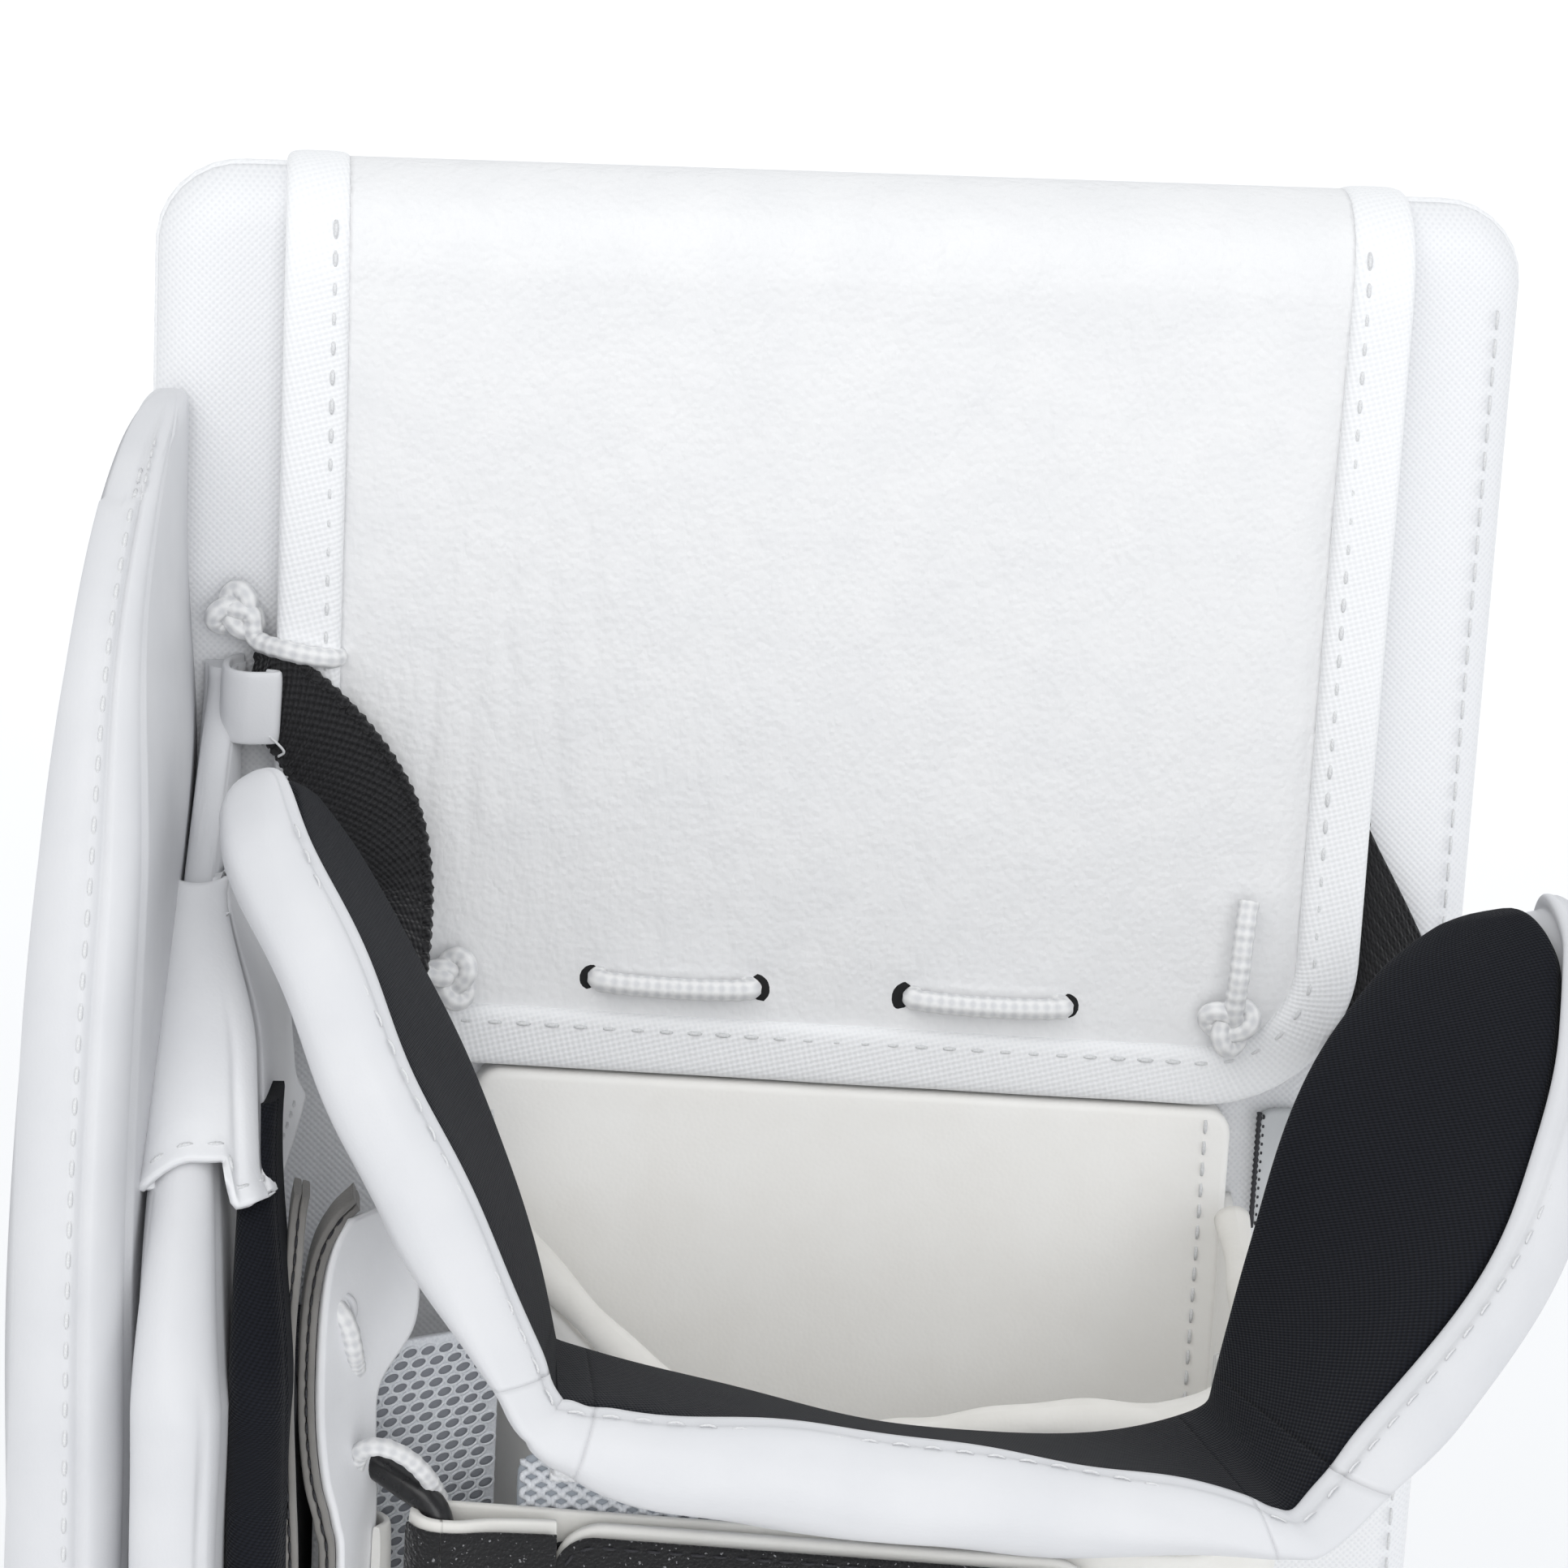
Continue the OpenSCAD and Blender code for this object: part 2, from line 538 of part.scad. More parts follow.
// Hand: a pad on the board inside a soft pouch open towards the forearm
module pouch_outline(inset) {
    x0 = hand_left + inset;
    x1 = hand_right - inset;
    y0 = palm_y + inset;
    r = pouch_r - inset;
    translate([x0, y0 + r]) square([x1 - x0, -lay_gap - y0 - r]);
    translate([x0 + r, y0]) square([x1 - x0 - 2 * r, r + 1]);
    for (x = [x0 + r, x1 - r]) translate([x, y0 + r]) circle(r);
}
module backhand_pad() {
    color("#f4efe4") plate(-lay_gap - backhand_t, -lay_gap)
        rounded(hand_left + pouch_wall + lay_gap, hand_right - pouch_wall - lay_gap,
        knuckle_z + web_t + lay_gap, flap_bottom - run_gap, 4);
}
module hand_pouch() {
    high = pouch_back_z + 1;
    over = hand_d + 5;
    color("#f1ebdf") {
        difference() {
            translate([0, 0, knuckle_z]) linear_extrude(high - knuckle_z) difference() {
                pouch_outline(0);
                translate([0, 1]) pouch_outline(pouch_wall);
                translate([hand_left + pouch_wall, -2]) square([hand_w - 2 * pouch_wall, 4]);
            }
            side_extrude(hand_left - 1, hand_right + 1)
                polygon([[0, pouch_back_z], [-over, pouch_back_z - rim_slope * over], [-over, high + 1],
                [0, high + 1]]);
        }
        difference() {
            translate([0, 0, knuckle_z]) linear_extrude(web_t) pouch_outline(pouch_wall / 2);
            for (x = finger_x) translate([x, finger_y, knuckle_z - 1]) cylinder(h = web_t + 2,
            r = stall_bore);
        }
    }
}
rim_turns = 5;
module pouch_rim() {
    r = pouch_r - pouch_wall / 2;
    xl = hand_left + pouch_r;
    xr = hand_right - pouch_r;
    yc = palm_y + pouch_r;
    flat = concat([[xl - r, -backhand_t - 3], [xl - r, (yc - backhand_t) / 2]],
        [for (i = [0 : rim_turns]) [xl - r * cos(90 * i / rim_turns), yc - r * sin(90 * i / rim_turns)]],
        [[hand_x, yc - r]],
        [for (i = [rim_turns : -1 : 0]) [xr + r * cos(90 * i / rim_turns),
        yc - r * sin(90 * i / rim_turns)]],
        [[xr + r, (yc - backhand_t) / 2], [xr + r, -backhand_t - 3]]);
    lift = rim_r * sqrt(1 + rim_slope * rim_slope) + lay_gap;
    color("#f1ebdf") tube([for (p = flat) [p[0], p[1], pouch_back_z + rim_slope * p[1] + lift]], rim_r, 10);
}
module pouch_elastic() {
    x = hand_right - pouch_wall - lay_gap;
    color("white") translate([x - 1.2, palm_y + pouch_r, pouch_palm_z - 19]) cube([1.2, 14, 20]);
}
module side_tab() {
    color("#d9dcdd") plate(-1.9, -lay_gap) rounded(hand_right + strap_t + 2 * run_gap, hand_right + 11.5,
        flap_bottom - 22, flap_bottom - 2, 1.5);
}
module palm_panel() {
    color("#e9e6e0") plate(heel_face, palm_y - lay_gap) rounded(palm_flat[0], palm_flat[1],
        knuckle_z + 6, strap_bottom - 3, 6);
}
heel_split = hand_x - 4;
module palm_heel_mesh() {
    color("#eceef0") plate(heel_face, palm_y - lay_gap) rounded(palm_flat[0], heel_split - 0.2,
        strap_bottom - 2, pouch_palm_z - 2, 2);
}
module palm_heel_patch() {
    color("#4a4a50") plate(heel_face, palm_y - lay_gap) rounded(heel_split + 0.2, palm_flat[1],
        strap_bottom - 2, pouch_palm_z - 2, 2);
}
panel_top = guard_full - 2;
eyelet_at = [-hand_d, panel_top - 8];
module thumb_side_panel() {
    s = sidewall_lean * panel_h;
    color("#eef0f2") difference() {
        translate([0, 0, panel_bottom]) linear_extrude(panel_top - panel_bottom) polygon([[panel_x,
        -lay_gap], [panel_x + panel_t, -lay_gap],
            [panel_x + panel_t - s, -panel_h], [panel_x - s, -panel_h]]);
        translate([panel_x - s - 2, eyelet_at[0], eyelet_at[1]]) rotate([0, 90, 0])
        cylinder(h = s + panel_t + 6, r = cord_d / 2 + lay_gap);
    }
}
welt_w = 7;
welt_top = guard_full + 24;
module thumb_welts() {
    x = panel_x - sidewall_lean * panel_h;
    t = 1.7;
    for (i = [0, 1]) color("#d6d6d4") translate([x - 0.9 + i * (t + lay_gap), -panel_h - welt_w,
        panel_bottom - 2])
        cube([t, welt_w - lay_gap, welt_top - panel_bottom + 2]);
}
gusset_t = 1.8;
gusset_y = [-hand_d + 6, -hand_d + 14];
gusset_x = [panel_x + panel_t - sidewall_lean * (hand_d - 6) + lay_gap, hand_left - lay_gap];
module thumb_gusset() {
    color("#eceef0") translate([0, 0, thumb_z + web_t + 5]) linear_extrude(panel_top - thumb_z - web_t - 14)
        polygon([[gusset_x[0], gusset_y[0]], [gusset_x[1], gusset_y[1]], [gusset_x[1],
        gusset_y[1] - gusset_t], [gusset_x[0], gusset_y[0] - gusset_t]]);
}
module thumb_web() {
    y0 = -hand_d - 9;
    y1 = -hand_d + 22;
    x0 = panel_x + panel_t + lay_gap;
    color("#e9e6e0") translate([0, 0, thumb_z]) linear_extrude(web_t) difference() {
        polygon([[x0 + sidewall_lean * y0, y0], [hand_left - lay_gap, y0 + 12], [hand_left - lay_gap,
        y1], [x0 + sidewall_lean * y1, y1]]);
        translate([thumb_x, thumb_y]) circle(thumb_bore);
    }
}
module palm_lace() {
    x = panel_x - sidewall_lean * hand_d + panel_t;
    z = eyelet_at[1];
    y = eyelet_at[0];
    color("white") tube([[x - 3.2, y, z], [x + 1, y, z], [x + 5, y - 0.5, z - 1], [x + 9, y, z - 4],
        [x + 12, y + 2, z - 7], [x + 13, y + 5, z - 9]], cord_d / 2, 8, [0, 0.4, 1]);
}
module finger_pad() {
    color("#f4efe4") plate(finger_y + finger_d / 2 + run_gap, -lay_gap) rounded(hand_left + 4,
        hand_right - 4, knuckle_z - finger_l - 4, knuckle_z - 3, 8);
}

// A stall is a tube with a round closed tip, hung from its mouth
module stall(at, d, length, bore) {
    r = d / 2;
    tip = [for (a = [0 : 15 : 90]) [r * cos(a), -length + r - r * sin(a)]];
    translate(at) rotate_extrude() polygon(concat([[bore, 0], [r, 0]], tip, [[0, -length + stall_wall],
        [bore, -length + r]]));
}
module finger_stall(i) {
    color("#e9e6e0") stall([finger_x[i], finger_y, finger_top], finger_d, finger_l, stall_bore);
}
module index_stall() { finger_stall(0); }
module middle_stall() { finger_stall(1); }
module ring_stall() { finger_stall(2); }
module little_stall() { finger_stall(3); }
module thumb_stall() {
    color("#e9e6e0") stall([thumb_x, thumb_y, thumb_top], thumb_d, thumb_l, thumb_bore);
}

// Wrist strap: from the little-finger side across the palm heel, round the ring and back on itself
turn_in = ring_r + lay_gap;
turn_out = turn_in + strap_t;
function arc(c, r, from, to, steps = 12) = [for (i = [0 : steps]) let (a = mix(from, to, i / steps))
    c + r * [cos(a), sin(a)]];
function turned(list) = [for (i = [len(list) - 1 : -1 : 0]) list[i]];
// One face of the strap in plan, at the given distance outside the hand
function strap_face(off) = let (c = [palm_flat[1], palm_y + pouch_r], r = c[1] - strap_y + off)
    concat([[c[0] + r, -lay_gap]], arc(c, r, 0, -90), arc([ring_x, ring_y], turn_out - off, 90, 270),
        [[tail_start, tail_y - strap_t + off]]);
module wrist_strap() {
    color("#efe9dc") translate([0, 0, strap_bottom]) linear_extrude(strap_w)
        polygon(concat(strap_face(0), turned(strap_face(strap_t))));
}
module band(x0, x1, y_palm, y_front, inset) {
    plate(y_palm, y_front) rounded(x0, x1, strap_bottom + inset, strap_top - inset, 1.5);
}
module strap_tail() { color("#efe9dc") band(tail_start + lay_gap, tail_end, tail_y - strap_t, tail_y, 0); }
module strap_hook_tape() { color("#15161a") band(tail_start + 8, tail_end - 5, hook_y - tape_t, hook_y,
    4); }
module strap_loop_tape() { color("#15161a") band(tail_start + 3, tail_end - 5, loop_y - tape_t, loop_y,
    4); }
module strap_ring() {
    low = strap_bottom - ring_r - run_gap;
    high = strap_top + ring_r + run_gap;
    near = [ring_x, ring_y];
    across = ring_far - near;
    color("#0e0e10") {
        for (p = [near, ring_far]) translate([p[0], p[1], low]) cylinder(h = high - low, r = ring_r - 0.05);
        for (z = [low, high]) translate([near[0], near[1], z]) rotate([0, 0, atan2(across[1], across[0])])
            translate([-ring_r, -ring_r, -ring_r]) cube([norm(across) + 2 * ring_r, 2 * ring_r,
            2 * ring_r]);
    }
}
ring_tab_t = 1.5;
ring_tab_l = 28;
module ring_tab() {
    hole = ring_r + lay_gap;
    middle = (strap_top + strap_bottom) / 2;
    color("#e9e6e0") translate([ring_far[0], ring_far[1], middle - ring_tab_l / 2]) difference() {
        cylinder(h = ring_tab_l, r = hole + ring_tab_t);
        translate([0, 0, -1]) cylinder(h = ring_tab_l + 2, r = hole);
    }
}

board_front_cover();
board_foam();
board_stiffener();
board_back_cover();
flap_leather();
flap_foam();
flap_binding();
flap_lace();
flap_lace_knots();
side_lace();
side_lace_knot();
sidewall_foam();
sidewall_cover();
sidewall_edge_strip();
thumb_guard_shell();
thumb_guard_lining();
thumb_guard_strap();
cuff_base_shell();
cuff_base_lining();
cuff_left_shell();
cuff_left_lining();
cuff_right_shell();
cuff_right_lining();
cuff_hinge_tape();
elastic_left();
elastic_right();
elastic_tab();
backhand_pad();
hand_pouch();
pouch_rim();
pouch_elastic();
side_tab();
palm_panel();
palm_heel_mesh();
palm_heel_patch();
thumb_side_panel();
thumb_gusset();
thumb_welts();
thumb_web();
palm_lace();
finger_pad();
index_stall();
middle_stall();
ring_stall();
little_stall();
thumb_stall();
wrist_strap();
strap_tail();
strap_hook_tape();
strap_loop_tape();
strap_ring();
ring_tab();
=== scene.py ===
"""Goalie blocker glove, stick hand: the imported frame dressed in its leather, webbing, knit, mesh and lacing.

Lengths are millimetres in the axes of the frame and become metres when a mesh is made.
X runs from the thumb side to the little finger, Y from the palm to the board's front, Z up to the forearm.
"""
import math

import bpy
import numpy as np
from mathutils import Matrix, Vector


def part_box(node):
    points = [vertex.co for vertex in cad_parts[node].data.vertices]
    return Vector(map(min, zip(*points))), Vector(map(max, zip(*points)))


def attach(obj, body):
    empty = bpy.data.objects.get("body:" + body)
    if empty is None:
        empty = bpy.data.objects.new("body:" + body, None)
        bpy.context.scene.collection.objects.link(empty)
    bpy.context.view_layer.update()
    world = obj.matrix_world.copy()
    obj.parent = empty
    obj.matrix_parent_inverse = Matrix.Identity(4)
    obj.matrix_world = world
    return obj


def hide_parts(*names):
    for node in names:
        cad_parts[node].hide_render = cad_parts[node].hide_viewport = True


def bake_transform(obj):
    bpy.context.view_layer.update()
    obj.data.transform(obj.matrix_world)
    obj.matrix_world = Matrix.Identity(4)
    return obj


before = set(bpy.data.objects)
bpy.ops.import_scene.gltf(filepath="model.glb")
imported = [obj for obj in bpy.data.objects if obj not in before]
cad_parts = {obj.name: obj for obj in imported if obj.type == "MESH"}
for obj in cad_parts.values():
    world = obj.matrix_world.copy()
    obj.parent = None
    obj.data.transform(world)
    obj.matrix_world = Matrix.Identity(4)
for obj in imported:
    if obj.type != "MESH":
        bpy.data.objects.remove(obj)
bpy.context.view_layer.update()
MM = 0.001


# Reading the frame

def box(node):
    """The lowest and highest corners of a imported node, in millimetres."""
    low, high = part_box(node)
    return np.array(low) / MM, np.array(high) / MM


BOARD_LOW, BOARD_HIGH = box("board_front_cover")
FLAP_LOW, FLAP_HIGH = box("flap_binding")
POUCH_LOW, POUCH_HIGH = box("hand_pouch")
BOARD_L = BOARD_HIGH[2]
BOARD_T = BOARD_HIGH[1]
EDGE_X = BOARD_LOW[0]


# Arrays and curves

def unit(v):
    """Vectors along the last axis, brought to length one."""
    return v / np.maximum(np.linalg.norm(v, axis=-1, keepdims=True), 1e-9)


def smooth(t):
    """A step from 0 to 1 with a level start and end: 3 t squared less 2 t cubed."""
    t = np.clip(t, 0, 1)
    return t * t * (3 - 2 * t)


def bump_at(x, centre, width):
    """A bell of height one round a centre: e to the minus (x - centre)^2 over width^2."""
    return np.exp(-((x - centre) / width) ** 2)


def spline(points, count):
    """A smooth curve through a few points (Catmull-Rom), sampled evenly along its length."""
    p = np.asarray(points, float)
    ends = np.vstack([2 * p[0] - p[1], p, 2 * p[-1] - p[-2]])
    u = np.linspace(0, len(p) - 1, 40 * len(p))
    i = np.minimum(u.astype(int), len(p) - 2)
    t = (u - i)[:, None]
    a, b, c, d = ends[i], ends[i + 1], ends[i + 2], ends[i + 3]
    curve = (2 * b + (c - a) * t + (2 * a - 5 * b + 4 * c - d) * t**2 + (3 * b - a - 3 * c + d) * t**3) / 2
    return evenly(curve, count)


def evenly(curve, count):
    """A line of points resampled evenly along the length of its first three columns; others ride along."""
    step = np.linalg.norm(np.diff(curve[:, :3], axis=0), axis=1)
    length = np.concatenate([[0], np.cumsum(step)])
    at = np.linspace(0, length[-1], count)
    return np.stack([np.interp(at, length, curve[:, k]) for k in range(curve.shape[1])], axis=1)


def tangents(path, closed=False):
    """The direction of a line of points at each of them, from its neighbours."""
    if closed:
        return unit(np.roll(path, -1, axis=0) - np.roll(path, 1, axis=0))
    return unit(np.gradient(path, axis=0))


def carried(path, first, closed=False):
    """Two directions square to a path, the first carried along it without twist."""
    along = tangents(path, closed)
    side = np.empty_like(along)
    last = np.asarray(first, float)
    for i, t in enumerate(along):
        last = unit(last - np.dot(last, t) * t)
        side[i] = last
    return side, np.cross(along, side)


def super_section(count, power):
    """A closed rounded-box section of half sizes one: signed powers of the cosine and sine."""
    a = 2 * np.pi * (np.arange(count) + 0.5) / count
    c, s = np.cos(a), np.sin(a)
    return np.stack([np.sign(c) * np.abs(c) ** power, np.sign(s) * np.abs(s) ** power], axis=1)


def sweep(path, side, up, section):
    """A section carried along a path: path + section x times side + section y times up, row by row."""
    section = np.broadcast_to(section, (len(path),) + np.shape(section)[-2:])
    return path[:, None] + section[..., :1] * side[:, None] + section[..., 1:] * up[:, None]


# Making meshes

def faces_of(rows, cols, wrap_rows, wrap_cols, start):
    """Corner numbers and grid places of the quads of a grid whose rows or columns may close."""
    r = np.arange(rows if wrap_rows else rows - 1)
    c = np.arange(cols if wrap_cols else cols - 1)
    r, c = [a.ravel() for a in np.meshgrid(r, c, indexing="ij")]
    ring = np.stack([r, r, r + 1, r + 1], axis=1)
    turn = np.stack([c, c + 1, c + 1, c], axis=1)
    return start + (ring % rows) * cols + turn % cols, ring, turn


def run_lengths(grid, axis, wrap):
    """Mean length along one axis of a grid, from its first line to each of the others, in metres."""
    if wrap:
        first = np.take(grid, [0], axis=axis)
        grid = np.concatenate([grid, first], axis=axis)
    step = np.linalg.norm(np.diff(grid, axis=axis), axis=2).mean(axis=1 - axis)
    return np.concatenate([[0], np.cumsum(step)]) * MM


def piece(name, patches, finish, body, hides=()):
    """One object from grids of points. A patch is (grid, wrap_rows, wrap_cols); closed ends get a middle.

    Its UV map holds lengths along rows and columns in metres, so that a weave has its real size anywhere.
    A closed patch is turned so that its volume is positive.
    """
    points, quads, places, tris, tri_uv, start = [], [], [], [], [], 0
    for grid, wrap_rows, wrap_cols in patches:
        grid = np.asarray(grid, float)
        rows, cols = grid.shape[:2]
        corner, ring, turn = faces_of(rows, cols, wrap_rows, wrap_cols, start)
        u = run_lengths(grid, 1, wrap_cols)
        v = run_lengths(grid, 0, wrap_rows)
        uv = np.stack([u[turn], v[ring]], axis=2)
        flat = grid.reshape(-1, 3)
        fan = np.zeros((0, 3), int)
        fan_uv = np.zeros((0, 3, 2))
        if wrap_cols and not wrap_rows:
            flat = np.vstack([flat, grid[0].mean(axis=0), grid[-1].mean(axis=0)])
            k = np.arange(cols)
            low = np.stack([np.full(cols, start + rows * cols), start + (k + 1) % cols, start + k], axis=1)
            top = start + (rows - 1) * cols
            high = np.stack([np.full(cols, start + rows * cols + 1), top + k, top + (k + 1) % cols], axis=1)
            fan = np.vstack([low, high])
            fan_uv = np.zeros((2 * cols, 3, 2))
            fan_uv[:cols, 1, 0], fan_uv[:cols, 2, 0] = u[k + 1], u[k]
            fan_uv[cols:, 1, 0], fan_uv[cols:, 2, 0] = u[k], u[k + 1]
            fan_uv[cols:, :, 1] = v[-1]
        if wrap_cols:
            local = flat - flat.mean(axis=0)
            q = local[corner - start]
            vol = np.einsum("ij,ij->", q[:, 0], np.cross(q[:, 1], q[:, 2]))
            vol += np.einsum("ij,ij->", q[:, 0], np.cross(q[:, 2], q[:, 3]))
            if vol < 0:
                corner, uv = corner[:, ::-1], uv[:, ::-1]
                fan, fan_uv = fan[:, ::-1], fan_uv[:, ::-1]
        points.append(flat)
        quads.append(corner)
        places.append(uv)
        tris.append(fan)
        tri_uv.append(fan_uv)
        start += len(flat)
    points, quads, tris = np.vstack(points), np.vstack(quads), np.vstack(tris)
    mesh = bpy.data.meshes.new(name)
    mesh.vertices.add(len(points))
    mesh.vertices.foreach_set("co", (points * MM).astype(np.float32).ravel())
    mesh.loops.add(quads.size + tris.size)
    mesh.loops.foreach_set("vertex_index", np.concatenate([quads.ravel(), tris.ravel()]).astype(np.int32))
    count = len(quads) + len(tris)
    sizes = np.concatenate([np.full(len(quads), 4), np.full(len(tris), 3)])
    mesh.polygons.add(count)
    mesh.polygons.foreach_set("loop_start", (np.cumsum(sizes) - sizes).astype(np.int32))
    mesh.polygons.foreach_set("use_smooth", sizes == 4)
    layer = mesh.uv_layers.new(name="UVMap")
    uv = np.concatenate([np.vstack(places).reshape(-1, 2), np.vstack(tri_uv).reshape(-1, 2)])
    layer.data.foreach_set("uv", uv.astype(np.float32).ravel())
    mesh.update(calc_edges=True)
    mesh.validate()
    mesh.materials.append(finish)
    obj = bpy.data.objects.new(name, mesh)
    bpy.context.scene.collection.objects.link(obj)
    if body:
        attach(obj, body)
    if hides:
        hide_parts(*hides)
    return obj


def thicken(obj, depth):
    """Gives a one-sided sheet its thickness, inwards from the faces that show."""
    solid = obj.modifiers.new("thickness", "SOLIDIFY")
    solid.thickness = depth * MM
    solid.offset = -1


def tube_grid(path, radius, sides=12, first=(0.3, 0.2, 1), closed=False):
    """A round tube: radius times cosine and sine of the turn, square to the path."""
    side, up = carried(path, first, closed)
    a = 2 * np.pi * np.arange(sides) / sides
    ring = np.stack([np.cos(a), np.sin(a)], axis=1)
    r = np.broadcast_to(np.asarray(radius, float), (len(path),))[:, None, None]
    return sweep(path, side, up, r * ring)


def braid_grid(path, radius, sides=20, first=(0.3, 0.2, 1), lay=4.6):
    """A braided cord: a tube whose radius swells where two sets of strands, wound left and right, cross.

    The swell is the product of two sines of (4 turns plus and minus length over the lay).
    """
    step = np.linalg.norm(np.diff(path, axis=0), axis=1)
    s = np.concatenate([[0], np.cumsum(step)])[:, None]
    a = 2 * np.pi * np.arange(sides)[None] / sides
    swell = np.sin(4 * a + 2 * np.pi * s / lay) * np.sin(4 * a - 2 * np.pi * s / lay)
    r = radius * (0.97 + 0.075 * swell)
    side, up = carried(path, first)
    ring = np.stack([r * np.cos(a), r * np.sin(a)], axis=2)
    return path[:, None] + ring[..., :1] * side[:, None] + ring[..., 1:] * up[:, None]


def stitch_grids(path, normals, pitch=4.3, length=2.9, radius=0.42, sink=0.1, sides=6, rings=5):
    """Running stitches along a path: short capsules that arch out of the surface and dive in at both ends."""
    step = np.linalg.norm(np.diff(path, axis=0), axis=1)
    s = np.concatenate([[0], np.cumsum(step)])
    count = max(int(s[-1] / pitch), 1)
    at = (np.arange(count) + 0.5) * s[-1] / count

    def pick(rows, where):
        return np.stack([np.interp(where, s, rows[:, k]) for k in range(3)], axis=-1)

    t = np.linspace(-1, 1, rings)
    where = at[:, None] + t[None] * length / 2
    centre = pick(path, where)
    out = unit(pick(normals, where))
    centre = centre + out * ((1 - t**2) * 1.1 * radius - radius * 0.6 - sink)[None, :, None]
    along = unit(pick(path, at + 0.3) - pick(path, at - 0.3))[:, None]
    across = unit(np.cross(np.broadcast_to(along, out.shape), out))
    a = 2 * np.pi * np.arange(sides) / sides
    taper = (1 - 0.35 * t**4)[None, :, None, None]
    ring = radius * taper * (np.cos(a)[None, None, :, None] * across[:, :, None]
                             + np.sin(a)[None, None, :, None] * out[:, :, None])
    grids = centre[:, :, None] + ring
    return [(g, False, True) for g in grids]


# Finishes

class Finish:
    """A principled material with a few short ways to add pattern nodes to it."""

    def __init__(self, name, color, rough, coords="Object", specular=0.4, sheen=0.0):
        self.mat = bpy.data.materials.new(name)
        self.mat.use_nodes = True
        self.nodes = self.mat.node_tree.nodes
        self.links = self.mat.node_tree.links
        self.shader = self.nodes["Principled BSDF"]
        self.shader.inputs["Base Color"].default_value = (*color, 1)
        self.shader.inputs["Roughness"].default_value = rough
        self.shader.inputs["Specular IOR Level"].default_value = specular
        if sheen:
            self.shader.inputs["Sheen Weight"].default_value = sheen
            self.shader.inputs["Sheen Roughness"].default_value = 0.5
        self.color = color
        self.place = self.add("ShaderNodeTexCoord").outputs[coords]

    def add(self, kind, **inputs):
        """A node of a kind, its sockets set to numbers or joined to other sockets."""
        node = self.nodes.new(kind)
        for name, value in inputs.items():
            socket = node.inputs[int(name[1:])] if name[0] == "_" else node.inputs[name.replace("__", " ")]
            if isinstance(value, bpy.types.NodeSocket):
                self.links.new(value, socket)
            else:
                socket.default_value = value
        return node

    def math(self, kind, a, b=0.0):
        """One arithmetic step on two values."""
        node = self.add("ShaderNodeMath", _0=a, _1=b)
        node.operation = kind
        return node.outputs[0]

    def stretched(self, scale=(1, 1, 1), turn=(0, 0, 0)):
        """The pattern's place, turned and scaled."""
        return self.add("ShaderNodeMapping", Vector=self.place, Scale=scale, Rotation=turn).outputs[0]

    def noise(self, size, detail=2.0, place=None):
        """Soft random patches of a size in millimetres."""
        node = self.add("ShaderNodeTexNoise", Vector=place or self.place, Scale=1 / (size * MM),
                        Detail=detail)
        return node.outputs["Fac"]

    def pebbles(self, size, place=None):
        """Rounded cells of a size in millimetres, high in their middles."""
        node = self.add("ShaderNodeTexVoronoi", Vector=place or self.place, Scale=1 / (size * MM))
        node.feature = "SMOOTH_F1"
        node.inputs["Smoothness"].default_value = 0.6
        return self.math("SUBTRACT", 1.0, node.outputs["Distance"])

    def axis(self, place, which):
        """One coordinate of a place."""
        return self.add("ShaderNodeSeparateXYZ", Vector=place).outputs[which]

    def wave(self, value, pitch):
        """Rounded ridges along a coordinate, one each pitch in millimetres: half of one plus its sine."""
        turns = self.math("MULTIPLY", value, 2 * math.pi / (pitch * MM))
        return self.math("MULTIPLY_ADD", self.math("SINE", turns), 0.5)

    def weave(self, pitch, axes=(0, 2), place=None):
        """A plain weave: the product of two sines, so that each thread goes over and under in turn."""
        place = place or self.place
        a = self.math("SINE", self.math("MULTIPLY", self.axis(place, axes[0]), math.pi / (pitch * MM)))
        b = self.math("SINE", self.math("MULTIPLY", self.axis(place, axes[1]), math.pi / (pitch * MM)))
        return self.math("MULTIPLY", a, b)

    def raise_by(self, height, depth, strength=1.0):
        """Bumps the surface by a pattern, its depth in millimetres; bumps add up."""
        node = self.add("ShaderNodeBump", Height=height, Strength=strength, Distance=depth * MM)
        last = self.shader.inputs["Normal"]
        if last.is_linked:
            self.links.new(last.links[0].from_socket, node.inputs["Normal"])
        self.links.new(node.outputs[0], last)
        return self

    def vary(self, value, dark, low=0.3, high=0.7):
        """Colour between a darker one and the finish's own, along a pattern."""
        ramp = self.add("ShaderNodeValToRGB", Fac=value)
        ramp.color_ramp.elements[0].position = low
        ramp.color_ramp.elements[1].position = high
        ramp.color_ramp.elements[0].color = (*dark, 1)
        ramp.color_ramp.elements[1].color = (*self.color, 1)
        self.links.new(ramp.outputs[0], self.shader.inputs["Base Color"])
        return self

    def dull(self, value, low, high):
        """Roughness between two values along a pattern."""
        span = self.add("ShaderNodeMapRange", Value=value)
        span.inputs["To Min"].default_value = low
        span.inputs["To Max"].default_value = high
        self.links.new(span.outputs[0], self.shader.inputs["Roughness"])
        return self


